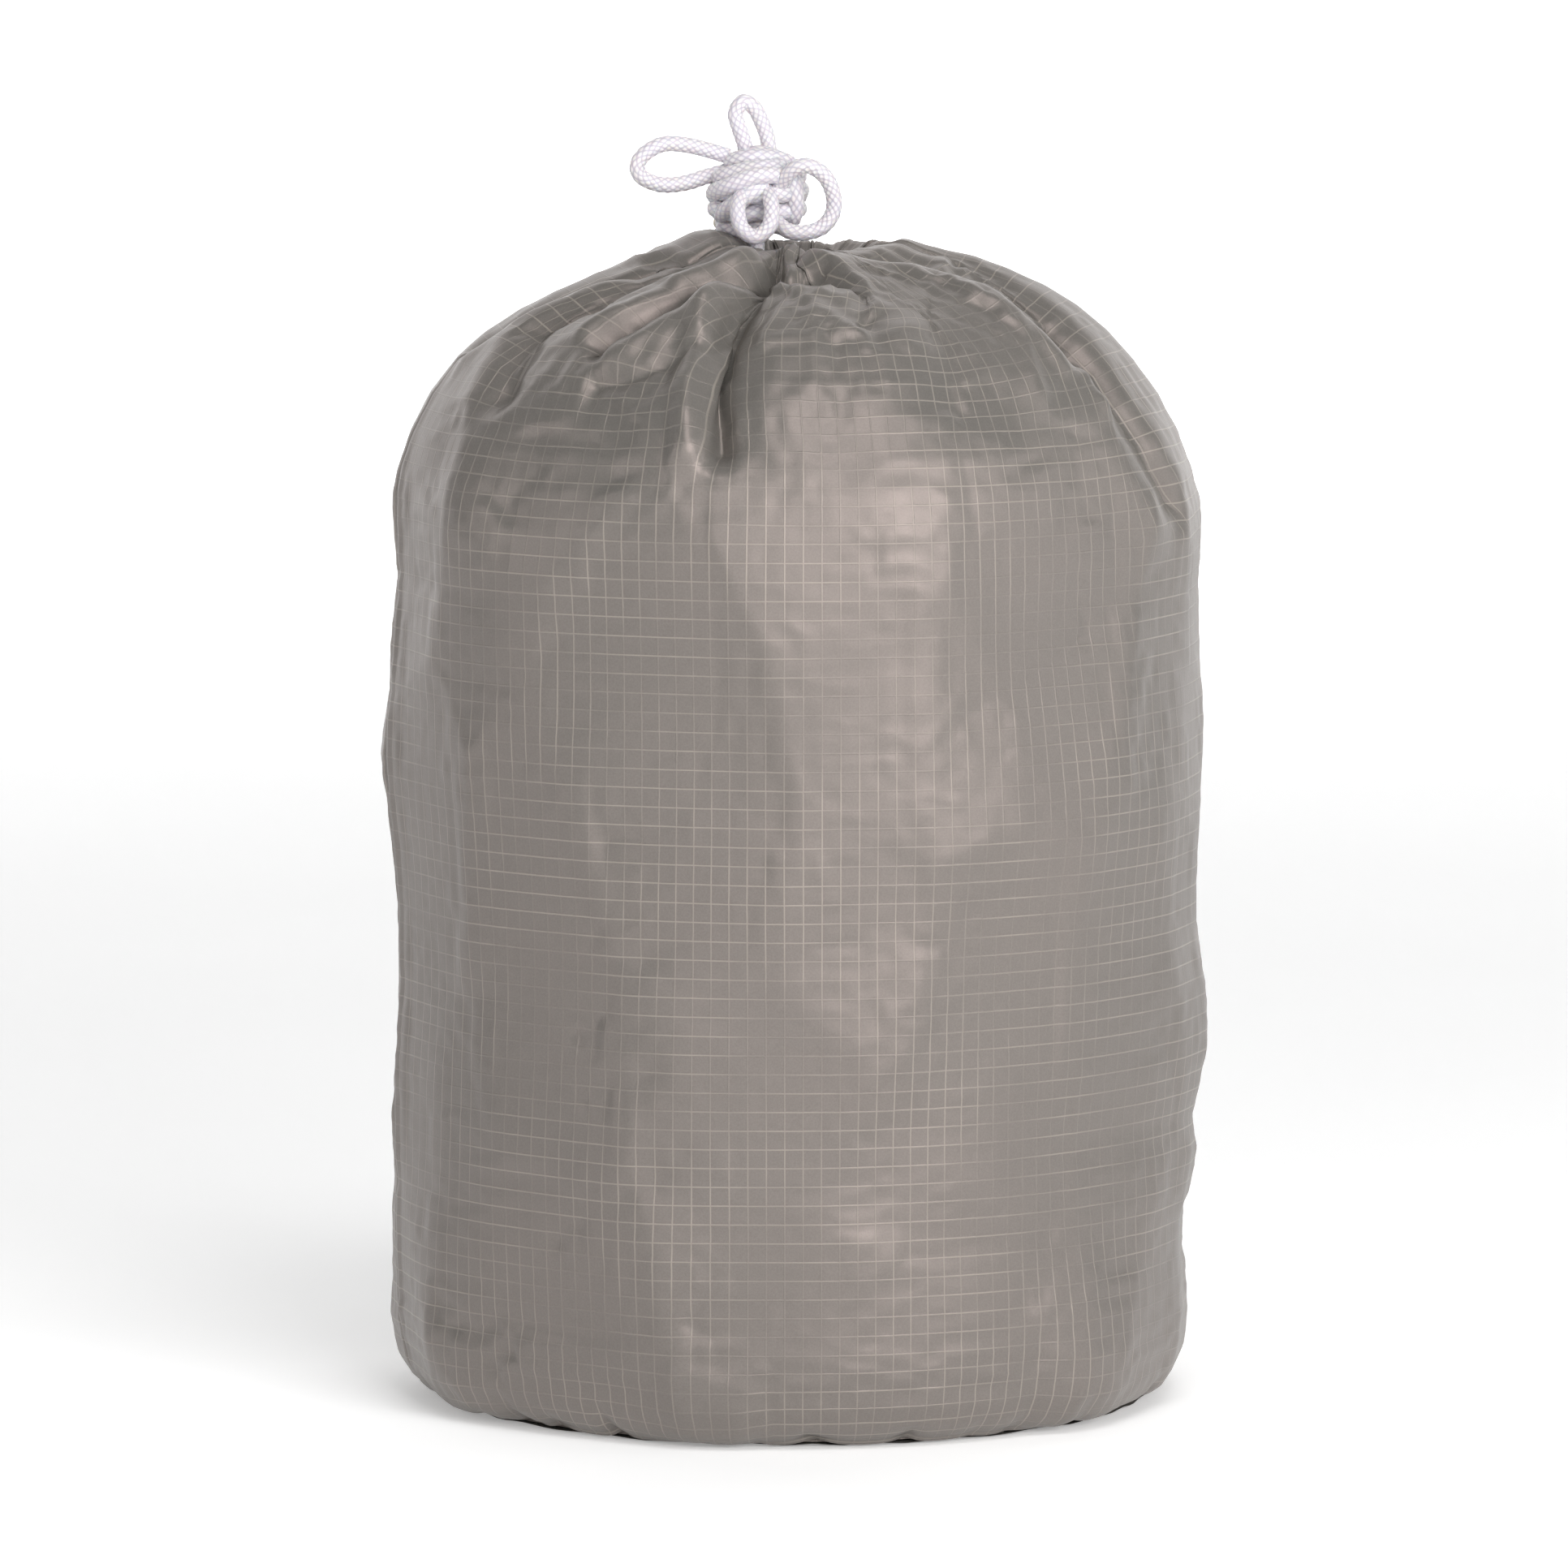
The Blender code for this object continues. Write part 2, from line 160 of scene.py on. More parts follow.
def smoothRoute(route, step, closed=False):
    points = [np.array(p, float) for p in route]
    ends = [points[-1], *points, points[0], points[1]] if closed else [
        2 * points[0] - points[1], *points, 2 * points[-1] - points[-2]]
    dense = []
    for a, b, c, d in zip(ends, ends[1:], ends[2:], ends[3:]):
        for t in np.linspace(0, 1, 24, endpoint=False):
            dense.append(0.5 * (2 * b + (c - a) * t + (2 * a - 5 * b + 4 * c - d) * t ** 2
                                + (3 * b - a - 3 * c + d) * t ** 3))
    dense.append(points[0] if closed else points[-1])
    dense = np.array(dense)
    along = np.concatenate([[0], np.cumsum(np.linalg.norm(np.diff(dense, axis=0), axis=1))])
    count = max(8, round(along[-1] / step))
    wanted = np.linspace(0, along[-1], count + 1)
    return np.stack([np.interp(wanted, along, dense[:, i]) for i in range(3)], axis=1), wanted


def braidHeight(turn, along):
    # turn is the place round the cord from 0 to 1, along in metres
    p = cord["carriers"] * turn + along / cord["stitch"]
    q = cord["carriers"] * turn - along / cord["stitch"]
    across, beside = p - np.floor(p), q - np.floor(q)
    over = (np.floor(p) + np.floor(q)) % 2 < 1
    first = np.sin(np.pi * across) ** 0.7 * (0.45 + 0.55 * np.sin(np.pi * beside))
    second = np.sin(np.pi * beside) ** 0.7 * (0.45 + 0.55 * np.sin(np.pi * across))
    return np.where(over, first, second)


def tube(route, radius=cord["radius"], step=cord["step"], closed=False, seed=0, around=cord["around"],
         relief=cord["relief"]):
    line, along = smoothRoute(route, step, closed)
    tangent = np.gradient(line, axis=0)
    tangent /= np.linalg.norm(tangent, axis=1)[:, None]
    side = np.cross(tangent[0], (0.1, 0.2, 0.97))
    side /= np.linalg.norm(side)
    turns = np.arange(around) / around
    rings = []
    for i in range(len(line)):
        side = side - tangent[i] * side.dot(tangent[i])
        side /= np.linalg.norm(side)
        up = np.cross(tangent[i], side)
        height = braidHeight(turns + 0.013 * seed, along[i] + 0.0007 * seed)
        reach = radius + relief * (height - 0.75)
        rings.append(line[i] + np.outer(np.cos(math.tau * turns) * reach, side)
                     + np.outer(np.sin(math.tau * turns) * reach, up))
    points = np.concatenate(rings)
    faces, corners = [], []
    for i in range(len(line) - 1):
        for j in range(around):
            k = (j + 1) % around
            faces.append((i * around + j, i * around + k, (i + 1) * around + k, (i + 1) * around + j))
            a, b = j / around, (j + 1) / around
            corners.append(((a, along[i]), (b, along[i]), (b, along[i + 1]), (a, along[i + 1])))
    start, end = list(range(around))[::-1], [(len(line) - 1) * around + j for j in range(around)]
    return points, faces, corners, line, (start, end)


def cordMesh(name, tubes, material):
    points, faces, uvs = [], [], []
    for made in tubes:
        shift = sum(len(p) for p in points)
        points.append(made[0])
        faces += [tuple(i + shift for i in f) for f in made[1]]
        uvs += [c for corner in made[2] for c in corner]
        for cap in made[4]:
            faces.append(tuple(i + shift for i in cap))
            uvs += [(0.0, 0.0)] * len(cap)
    data = bpy.data.meshes.new(name)
    data.from_pydata(np.concatenate(points).tolist(), [], faces)
    layer = data.uv_layers.new(name="roundAndAlong")
    layer.data.foreach_set("uv", np.array(uvs, np.float32).ravel())
    data.shade_smooth()
    data.materials.append(material)
    return linked(name, data)


def braidedNylonWhite():
    # white nylon, braided from glossy yarn: each stitch catches light, and the grooves between stitches are
    # painted lavender grey as painted shade
    made = newMaterial("nylon cord white braided")
    uv = node(made, "ShaderNodeUVMap", {"uv_map": "roundAndAlong"})
    split = node(made, "ShaderNodeSeparateXYZ", inputs={0: uv.outputs[0]})
    turn = node(made, "ShaderNodeMath", {"operation": "MULTIPLY"}, {0: split.outputs[0], 1: cord["carriers"]})
    run = node(made, "ShaderNodeMath", {"operation": "DIVIDE"}, {0: split.outputs[1], 1: cord["stitch"]})
    p = node(made, "ShaderNodeMath", {"operation": "ADD"}, {0: turn.outputs[0], 1: run.outputs[0]})
    q = node(made, "ShaderNodeMath", {"operation": "SUBTRACT"}, {0: turn.outputs[0], 1: run.outputs[0]})
    waves = []
    for value in (p, q):
        part = node(made, "ShaderNodeMath", {"operation": "FRACT"}, {0: value.outputs[0]})
        angle = node(made, "ShaderNodeMath", {"operation": "MULTIPLY"}, {0: part.outputs[0], 1: math.pi})
        waves.append(node(made, "ShaderNodeMath", {"operation": "SINE"}, {0: angle.outputs[0]}))
    hill = node(made, "ShaderNodeMath", {"operation": "MULTIPLY"},
                {0: waves[0].outputs[0], 1: waves[1].outputs[0]})
    place = node(made, "ShaderNodeTexCoord")
    cloud = node(made, "ShaderNodeTexNoise",
                 inputs={"Vector": place.outputs["Object"], "Scale": 180.0, "Detail": 2.0})
    tint = node(made, "ShaderNodeMix", {"data_type": "RGBA"},
                {0: cloud.outputs[0], 6: linear(cord["cooler"]), 7: linear(cord["warmer"])})
    # painted shade: the colour goes towards the lavender grey where the braid dips between stitches
    paintedGrooveShade = node(made, "ShaderNodeMapRange", inputs={0: hill.outputs[0], 1: 0.0, 2: 0.7, 3: 0.75, 4: 0.0})
    colour = node(made, "ShaderNodeMix", {"data_type": "RGBA"},
                  {0: paintedGrooveShade.outputs[0], 6: tint.outputs[2], 7: linear(cord["paintedGrooveShade"])})
    yarn = node(made, "ShaderNodeTexWave", {"bands_direction": "DIAGONAL"},
                {"Vector": place.outputs["Object"], "Scale": 2600.0, "Distortion": 2.0})
    bump = node(made, "ShaderNodeBump",
                inputs={"Height": yarn.outputs[1], "Strength": 0.12, "Distance": 0.05 * mm})
    shader = node(made, "ShaderNodeBsdfPrincipled", inputs={
        "Base Color": colour.outputs[2], "Roughness": 0.42, "IOR": 1.53, "Normal": bump.outputs[0],
        "Subsurface Weight": 0.15, "Subsurface Scale": 0.002, "Sheen Weight": 0.25, "Sheen Roughness": 0.4})
    node(made, "ShaderNodeOutputMaterial", inputs={0: shader.outputs[0]})
    return made


cordWhite = braidedNylonWhite()
loopBodies = {
    "left_loop": "loop_left", "top_loop": "loop_top", "right_loop": "loop_right",
    "front_loop": "loop_front", "left_tail": "tail_left", "right_tail": "tail_right",
}


def makeLoops():
    for number, (name, route) in enumerate(routes.items()):
        placed = [knotCentre + Vector(p) for p in route]
        made = tube(placed, seed=number)
        piece = cordMesh("braided_" + name, [made], cordWhite)
        fit(piece, loopBodies[name], name)


makeLoops()
print("loops and tails made")

knot = {
    "reach": (11.6 * mm, 11.2 * mm, 10.6 * mm),    # to the middle of the outer turns of cord
    "lower": 1.0 * mm,                             # the turns hang this much below the knot's centre
    "flattened": 2.4 * mm,                         # pulled tight, the cord spreads a little wider
    # each turn: points as (angle from the front, height angle, lift in mm), and whether it closes
    "turns": (
        (((-180, -52, 0), (-120, -50, 1), (-70, -46, 2.4), (-30, -54, 1), (0, -56, -1), (60, -48, 1),
          (120, -50, 0)), True),
        (((-180, -24, 0), (-120, -22, 0), (-70, -20, 1.2), (-30, -30, 0), (0, -30, -1), (60, -22, 0.6),
          (120, -22, 0)), True),
        (((-180, 4, 0), (-120, 2, 0), (-66, 4, 0), (0, 0, -0.4), (60, 4, 0.3), (120, 6, 0)), True),
        (((-150, 16, 0), (-110, 22, 0.2), (-62, 28, 0), (0, 42, 0.2), (55, 36, 0.4), (100, 24, 0.3),
          (140, 10, -1)), False),
        (((-130, 42, 0), (-80, 54, 0.3), (-20, 64, 0.6), (60, 56, 0.6), (110, 36, 0.3),
          (150, 24, -0.5)), False),
        (((150, 40, 0), (165, 68, 0), (-160, 86, 0), (-50, 84, 0.2), (20, 82, 0.2), (80, 60, 0),
          (100, 40, -1)), False),
        (((-104, -8, -0.5), (-70, 2, 1.0), (-36, 12, 1.9), (-4, 24, 2.2), (30, 26, 1.4), (60, 14, 0.6),
          (92, -4, -0.6)), False),
        (((-94, -26, -0.5), (-60, -26, 1.2), (-32, -12, 1.6), (-8, 4, 0.9), (10, 16, -0.6)), False),
        (((80, -50, 0), (58, -30, 1.2), (50, -4, 1.4), (48, 22, 1.2), (42, 44, 0.4), (30, 60, -1)), False),
        (((-60, -60, -3), (0, -20, -3), (60, 20, -3), (120, 60, -3), (180, 20, -3), (240, -20, -3)), True),
        (((60, -60, -3), (0, -10, -3), (-60, 30, -3), (-120, 60, -3), (180, 10, -3), (120, -30, -3)), True),
    ),
}


def onKnot(azimuth, elevation, lift):
    a, e = math.radians(azimuth), math.radians(elevation)
    rx, ry, rz = knot["reach"]
    way = Vector((math.sin(a) * math.cos(e), -math.cos(a) * math.cos(e), math.sin(e)))
    middle = knotCentre - Vector((0, 0, knot["lower"]))
    return middle + Vector((way.x * rx, way.y * ry, way.z * rz)) + way * lift * mm


def makeKnot():
    tubes = [tube([onKnot(*p) for p in turn], radius=knot["flattened"], closed=closed, seed=7 + i)
             for i, (turn, closed) in enumerate(knot["turns"])]
    piece = cordMesh("tied_knot", tubes, cordWhite)
    fit(piece, "cord_knot", "knot")


makeKnot()


def makeLegs():
    bottom, top = 0.2995, knotCentre.z - 0.006
    for side, name in ((-1, "front_cord_leg"), (1, "rear_cord_leg")):
        x, y = -0.01089, side * 0.0026
        points = [(x, y, bottom + (top - bottom) * i / 6) for i in range(7)]
        piece = cordMesh("braided_" + name, [tube(points, seed=20 + side)], cordWhite)
        fit(piece, "cord_legs", name)


makeLegs()
print("knot and legs made")


# ---- fabric
sack = {
    "flatRadius": 110 * mm,      # the flat panel is this circle's length wide
    "seamAt": -80.0,             # degrees, where the panel's two edges are sewn together
    "columns": 560,
    "rows": 330,
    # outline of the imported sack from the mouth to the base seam, distance from the axis and height in mm
    "outline": (
        (14.5, 306.0), (18, 310.6), (23, 313.4), (29, 313.8), (38, 312.2), (48, 309.4), (57, 306.2),
        (67, 302.0), (76, 296.9), (84, 290.8), (92, 283), (99, 273.5), (104, 263.5), (107, 253.5),
        (108.6, 243), (109.1, 230), (109.2, 200), (109.2, 160), (109.2, 120), (109.2, 80), (109.2, 40),
        (109.0, 22), (107.4, 11), (104.2, 5.0), (100.0, 1.7), (96.6, 0.5),
    ),
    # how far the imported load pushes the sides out, in mm, by height in mm
    "leftSide": (
        (0, -1), (24, 0), (51, 0), (60, -1), (78, -1.1), (96, -1.5), (113, -1.7), (131, -1.1), (149, 0),
        (167, 0.9), (176, 1.2), (185, 0.3), (194, -0.9), (212, -1.1), (225, -2.1), (238, -0.2), (247, 0.8),
        (270, 0), (320, 0),
    ),
    "rightSide": (
        (0, -2.5), (15, -2.2), (33, -2.3), (42, -3.2), (51, -3.3), (60, -1.4), (69, -1.1), (78, -2.7),
        (87, -0.1), (96, 1.8), (105, 2.0), (114, 1.7), (131, 0), (149, 0.5), (158, 1.1), (185, 0.9),
        (203, -0.5), (220, -1.2),
        (238, -0.3), (247, -0.8), (256, -1.4), (270, -2), (290, -0.5), (320, 0.5),
    ),
}
outline = np.array(sack["outline"], float)
outlineLength = np.concatenate([[0], np.cumsum(np.hypot(*np.diff(outline, axis=0).T))])

# Where the cloth runs into a fold at the top. Points are (angle, mm of cloth down from the mouth), then
# mm deep, mm wide on the left and on the right of the line, how far the left lip leans over it, and how
# high each lip stands
folds = (
    (((-40, 12), (-48, 31), (-63, 47), (-71, 63), (-84, 88)), 4.5, 8, 4, 0, 0, 1.5),
    (((-26, 12), (-45, 45), (-58, 63), (-61, 71), (-57, 89), (-54, 106)), 5.0, 5, 8, 0, 1.2, 0),
    (((-9, 12), (-11, 33), (-20.5, 48), (-31, 63), (-38, 76), (-41, 84)), 9.0, 3.6, 4.0, 0, 2.6, 3.0),
    (((-5, 12), (-10, 45), (-14, 60), (-14.5, 76), (-14, 92), (-12.5, 108), (-12.5, 119)),
     9.5, 3.2, 6.5, 1.0, 4.0, 0),
    (((0, 10), (2, 30), (12, 40), (18, 52), (16, 63), (11, 71)), 3.5, 5, 5, 0, 0, 1.5),
    (((9, 10), (22, 30), (29, 68), (25, 106)), 2.6, 10, 12, 0, 0, 0),
    (((18, 10), (32, 24), (47, 34), (52, 47), (54, 58), (54, 70), (56, 92)), 10.0, 3.4, 9.0, 0, 2.4, 0.5),
    (((70, 8), (72, 30), (68, 50), (64, 76), (62, 99), (65, 119), (73, 138)), 5.0, 7, 4, 0, 1.2, 0),
    (((92, 8), (96, 40), (94, 90), (98, 140)), 8.0, 3.4, 4.4, 0, 1.5, 0),
    (((116, 8), (119, 34), (124, 64), (121, 112)), 10.0, 3.6, 3.0, 0, 2, 1),
    (((142, 8), (146, 46), (153, 96), (150, 146)), 8.0, 4.0, 3.4, 0, 1.5, 0),
    (((168, 8), (173, 34), (171, 62), (166, 108)), 10.5, 2.8, 4.4, 0, 2.4, 0),
    (((196, 8), (192, 46), (197, 92), (203, 150)), 8.5, 4.0, 3.2, 0, 0, 2),
    (((222, 8), (227, 30), (230, 60), (224, 116)), 10.0, 3.2, 3.8, 0, 1, 2),
    (((246, 8), (250, 50), (247, 96), (251, 138)), 8.0, 3.4, 4.2, 0, 1.5, 0),
    (((272, 8), (269, 40), (267, 90)), 6.5, 3.2, 3.8, 0, 0, 1),
)

# Creases, hollows (deep) and standing ridges (less than nothing deep) beside the folds
topCreases = (
    (((-4, 33), (0, 40), (5, 44), (11, 46), (17, 44)), 9.5, 2.2, 7.5),
    (((-3, 46), (3, 52), (10, 53), (17, 51)), -1.6, 3.0, 3.0),
    (((2, 20), (9, 27), (15, 33), (19, 44), (19, 56), (14, 67)), -3.8, 3.2, 3.2),
    (((-3, 14), (-4, 24), (-3, 33)), -3.0, 2.5, 2.5),
    (((-165, 15), (-120, 15), (-75, 14), (-35, 13)), -4.6, 10, 6),
    (((30, 18), (60, 20), (95, 18), (130, 16)), -1.2, 6, 6),
    (((-14, 26), (-19, 34), (-27, 44), (-34, 54)), -2.0, 4, 4),
    (((-38, 92), (-30, 90), (-22, 82), (-18, 72)), 3.2, 7, 4),
    (((42, 50), (46, 62), (46, 76), (43, 90), (42, 102)), -1.8, 5, 3),
    (((66, 42), (60, 60), (56, 77), (55, 92), (57, 108)), -2.4, 3, 4),
    (((66, 66), (60, 82), (57, 100)), 2.4, 5, 4),
    (((74, 30), (62, 34), (52, 38)), -2.0, 4, 3),
    (((-83, 86), (-70, 76), (-55, 66), (-44, 50)), 1.6, 4, 8),
    (((-60, 36), (-52, 44), (-38, 50)), 1.4, 5, 4),
    (((-7, 74), (-8, 92), (-5, 118)), 1.0, 7, 12),
    (((6, 70), (8, 90), (4, 116)), 1.2, 12, 14),
    (((33, 86), (36, 102), (38, 118)), 1.4, 8, 8),
    (((-27, 98), (-30, 108), (-26, 122)), 1.2, 8, 8),
    (((-44, 104), (-42, 118), (-47, 132)), 1.2, 8, 8),
    (((-66, 100), (-63, 116), (-66, 130)), 1.0, 7, 9),
    (((48, 104), (46, 118), (49, 134)), 1.1, 8, 8),
)


def onOutline(length):
    return (np.interp(length, outlineLength, outline[:, 0]), np.interp(length, outlineLength, outline[:, 1]))


def placeOn(angle, length):
    r, z = onOutline(np.asarray(length, float))
    a = np.radians(np.asarray(angle, float))
    return np.stack([r * np.sin(a), -r * np.cos(a), z], axis=-1)


def gatheredAngles(lengths, flatAngles):
    # Cloth that the mouth has no room for goes into the folds: between two folds the weave keeps its size,
    # and it bunches up beside them
    ordered = sorted(folds, key=lambda fold: fold[0][-1][0])
    start = sack["seamAt"]
    stops = []
    for fold in ordered:
        path = np.array(fold[0], float)
        along = np.append(path[:, 1], path[-1, 1] + 25)
        turn = np.append(path[:, 0], path[-1, 0])
        stops.append(np.interp(lengths, along, turn))
    stops = np.array(stops)
    flat = stops[:, -1].copy()
    stops = np.vstack([stops[-1] - 360, stops, stops[0] + 360, stops[1] + 360])
    flat = np.concatenate([[flat[-1] - 360], flat, [flat[0] + 360, flat[1] + 360]])
    radius = onOutline(lengths)[0]
    found = np.empty((len(lengths), len(flatAngles)))
    which = np.searchsorted(flat, flatAngles, side="right") - 1
    for i in range(len(lengths)):
        low, high = stops[which, i], stops[which + 1, i]
        wide = flat[which + 1] - flat[which]
        t = 2 * (flatAngles - flat[which]) / wide - 1
        keep = np.clip(109.2 / radius[i] * wide / np.maximum(high - low, 1), 1, 4)
        x = np.abs(t)
        bunched = 0.8 * (1 - (1 - x) ** keep) + 0.2 * x
        found[i] = (low + high) / 2 + (high - low) / 2 * np.sign(t) * bunched
    return found


class Cloth:
    def __init__(self):
        rows, columns = sack["rows"], sack["columns"]
        self.length = np.linspace(0, outlineLength[-1], rows)
        self.flat = sack["seamAt"] + 360 * np.arange(columns) / columns
        self.angle = gatheredAngles(self.length, self.flat)
        self.down = np.repeat(self.length[:, None], columns, axis=1)
        self.base = placeOn(self.angle, self.down)
        r, z = onOutline(self.length)
        slope = np.stack([np.gradient(r), np.gradient(z)], axis=1)
        slope /= np.linalg.norm(slope, axis=1)[:, None]
        a = np.radians(self.angle)
        out, rise = -slope[:, 1][:, None], slope[:, 0][:, None]
        self.normal = np.stack([out * np.sin(a), -out * np.cos(a), rise + 0 * a], axis=-1)
        self.lift = np.zeros(self.angle.shape)
        self.shift = np.zeros(self.base.shape)

    def near(self, path, reach):
        path = np.array(path, float)
        dense = np.concatenate([np.linspace(a, b, 7)[:-1] for a, b in zip(path, path[1:])] + [path[-1:]])
        line = placeOn(dense[:, 0], dense[:, 1])
        low, high = line.min(axis=0) - reach, line.max(axis=0) + reach
        mask = ((self.base > low) & (self.base < high)).all(axis=-1)
        points, normals = self.base[mask], self.normal[mask]
        best = np.full(len(points), 1e9)
        side, share = np.zeros(len(points)), np.zeros(len(points))
        total = np.concatenate([[0], np.cumsum(np.linalg.norm(np.diff(line, axis=0), axis=1))])
        for i, (a, b) in enumerate(zip(line, line[1:])):
            step = b - a
            size = np.linalg.norm(step)
            t = np.clip((points - a) @ step / size ** 2, 0, 1)
            off = points - a - t[:, None] * step
            distance = np.linalg.norm(off, axis=1)
            closer = distance < best
            best = np.where(closer, distance, best)
            turn = np.einsum("ij,ij->i", np.cross(step / size, normals), off)
            side = np.where(closer, np.sign(turn), side)
            share = np.where(closer, (total[i] + t * size) / total[-1], share)
        return mask, best, side, share

    def crease(self, path, depth, left, right, blunt=1.6, ends=(0.15, 0.25), lean=0.0, lips=(0, 0),
               spread=0.0):
        # A line pressed into the cloth. It fades out over these shares of its length at both ends, and is
        # this much wider at its far end. Left is on the left of a line that runs down, and below a line
        # that runs to the right
        mask, distance, side, share = self.near(path, 3.2 * max(left, right) * (1 + spread))
        width = np.where(side > 0, left, right) * (1 + spread * share)
        fade = np.ones(len(share))
        if ends[0]:
            fade *= smoothStep(0, ends[0], share)
        if ends[1]:
            fade *= smoothStep(0, ends[1], 1 - share)
        shape = np.exp(-(distance / width) ** blunt)
        self.lift[mask] -= depth * fade * shape
        height = np.where(side > 0, lips[0], lips[1])
        lip = np.exp(-((distance - 2.2 * width) / (1.2 * width)) ** 2) * fade
        self.lift[mask] += height * lip
        if lean:
            across = np.cross(np.array([0, 0, 1.0]), self.normal[mask])
            self.shift[mask] += (lean * lip * (side > 0))[:, None] * across

    def points(self):
        return self.base + self.normal * self.lift[..., None] + self.shift


# Lines that the load presses into the side: points, mm deep, mm wide on the left and on the right
bodyCreases = (
    (((-20, 104), (-24, 130), (-33, 160), (-45, 176), (-64, 171)), 1.3, 16, 22),
    (((-14, 112), (-12, 150), (-11, 181), (-18, 215)), 1.2, 20, 14),
    (((31, 128), (30, 180), (30, 215)), 0.8, 16, 20),
    (((-15, 205), (5, 209), (28, 212)), 0.9, 12, 22),
    (((-13, 268), (-4, 247), (2, 241), (15, 239), (29, 247), (38, 256), (46, 266)), 1.2, 10, 24),
    (((-31, 215), (-23, 213), (-15, 207)), 1.1, 6, 9),
    (((-27, 234), (-33, 248), (-25, 246), (-17, 246)), 1.1, 7, 7),
    (((-35, 268), (-29, 262), (-23, 258)), 1.1, 6, 8),
    (((-34, 286), (-26, 280), (-17, 274)), 1.1, 6, 10),
    (((-40, 326), (-28, 312), (-21, 303), (-13, 296)), 1.3, 12, 9),
    (((20, 183), (30, 176), (38, 170), (46, 163), (60, 149), (75, 140)), 1.1, 6, 12),
    (((8, 322), (17, 289), (26, 249)), 1.2, 14, 16),
    (((26, 249), (39, 292), (57, 312)), 1.0, 14, 16),
    (((31, 205), (45, 207), (66, 203)), 1.0, 12, 22),
    (((12, 326), (38, 319), (58, 311)), 1.1, 10, 16),
    (((-64, 351), (-49, 348), (-36, 344), (-26, 337)), 1.4, 7, 10),
    (((-50, 362), (-44, 352)), 1.0, 5, 5),
    (((-17, 340), (-11, 347), (-12, 358)), 1.2, 6, 8),
    (((44, 140), (48, 170), (52, 206)), 0.9, 12, 10),
    (((65, 150), (61, 180), (56, 206)), 0.9, 9, 14),
    (((-78, 118), (-70, 150), (-74, 182), (-66, 214)), 1.0, 14, 16),
    (((-70, 250), (-58, 262), (-46, 258)), 0.8, 14, 18),
    (((60, 262), (70, 290), (66, 330)), 1.3, 12, 14),
)


# Flat patches where the load presses: middle (angle, mm down the cloth), then how far its face is turned
# to the right and how far it is turned up
patches = (
    (-70, 132, -1, 0), (-46, 124, 4, 5), (-19, 150, -3, -3), (-12, 196, -3, -3), (2, 158, 2, 3),
    (20, 142, 1, 3), (37, 132, -1, 1), (50, 176, -7, 5), (70, 158, -3, -1), (-60, 200, -4, -3),
    (-35, 202, -3, -4), (6, 190, 2, 2), (27, 190, 0, 2), (10, 226, -1, -2), (38, 228, -4, -5),
    (60, 228, -2, -3), (-52, 252, -2, -2), (-24, 256, 4, 4), (6, 262, -4, -4), (24, 278, -5, -7),
    (48, 268, -1, -2), (72, 262, 0, 2), (-64, 300, -2, 0), (-38, 296, -3, -3), (-14, 300, 3, 2),
    (4, 316, 1, 0), (22, 338, 2, 3), (46, 338, 3, 4), (68, 332, -2, -1), (-28, 332, -4, -4),
    (-52, 334, -1, 2), (-8, 352, 1, 1), (-74, 350, -2, 0),
)


def facing(cloth):
    random = np.random.default_rng(11)
    sites = [list(p) for p in patches]
    for angle in range(88, 276, 19):
        for down in range(128, 372, 40):
            sites.append([angle + random.uniform(-7, 7), down + random.uniform(-13, 13),
                          random.uniform(-4, 4), random.uniform(-2, 2)])
    lowest = []
    for angle, down, turned, raised in sites:
        beside = ((cloth.angle - angle + 180) % 360 - 180) * math.pi / 180 * 109.2
        below = cloth.down - down
        lowest.append(beside ** 2 / 218 + below ** 2 / 900 - beside * math.tan(math.radians(1.5 * turned))
                      + below * math.tan(math.radians(1.6 * raised)))
    lowest = np.array(lowest)
    sharp = 4.0
    least = lowest.min(axis=0)
    height = least - np.log(np.exp(-sharp * (lowest - least)).sum(axis=0)) / sharp
    return np.clip(height, -3, 3)


def wrinkles(points, scale, seed, ridged=False):
    shift = Vector((17.3 * seed, 5.1 * seed, 9.7 * seed))
    flat = points.reshape(-1, 3) / scale
    found = np.array([noise.noise(Vector(p) + shift) for p in flat]).reshape(points.shape[:-1])
    return 1 - 2 * np.abs(found) if ridged else found


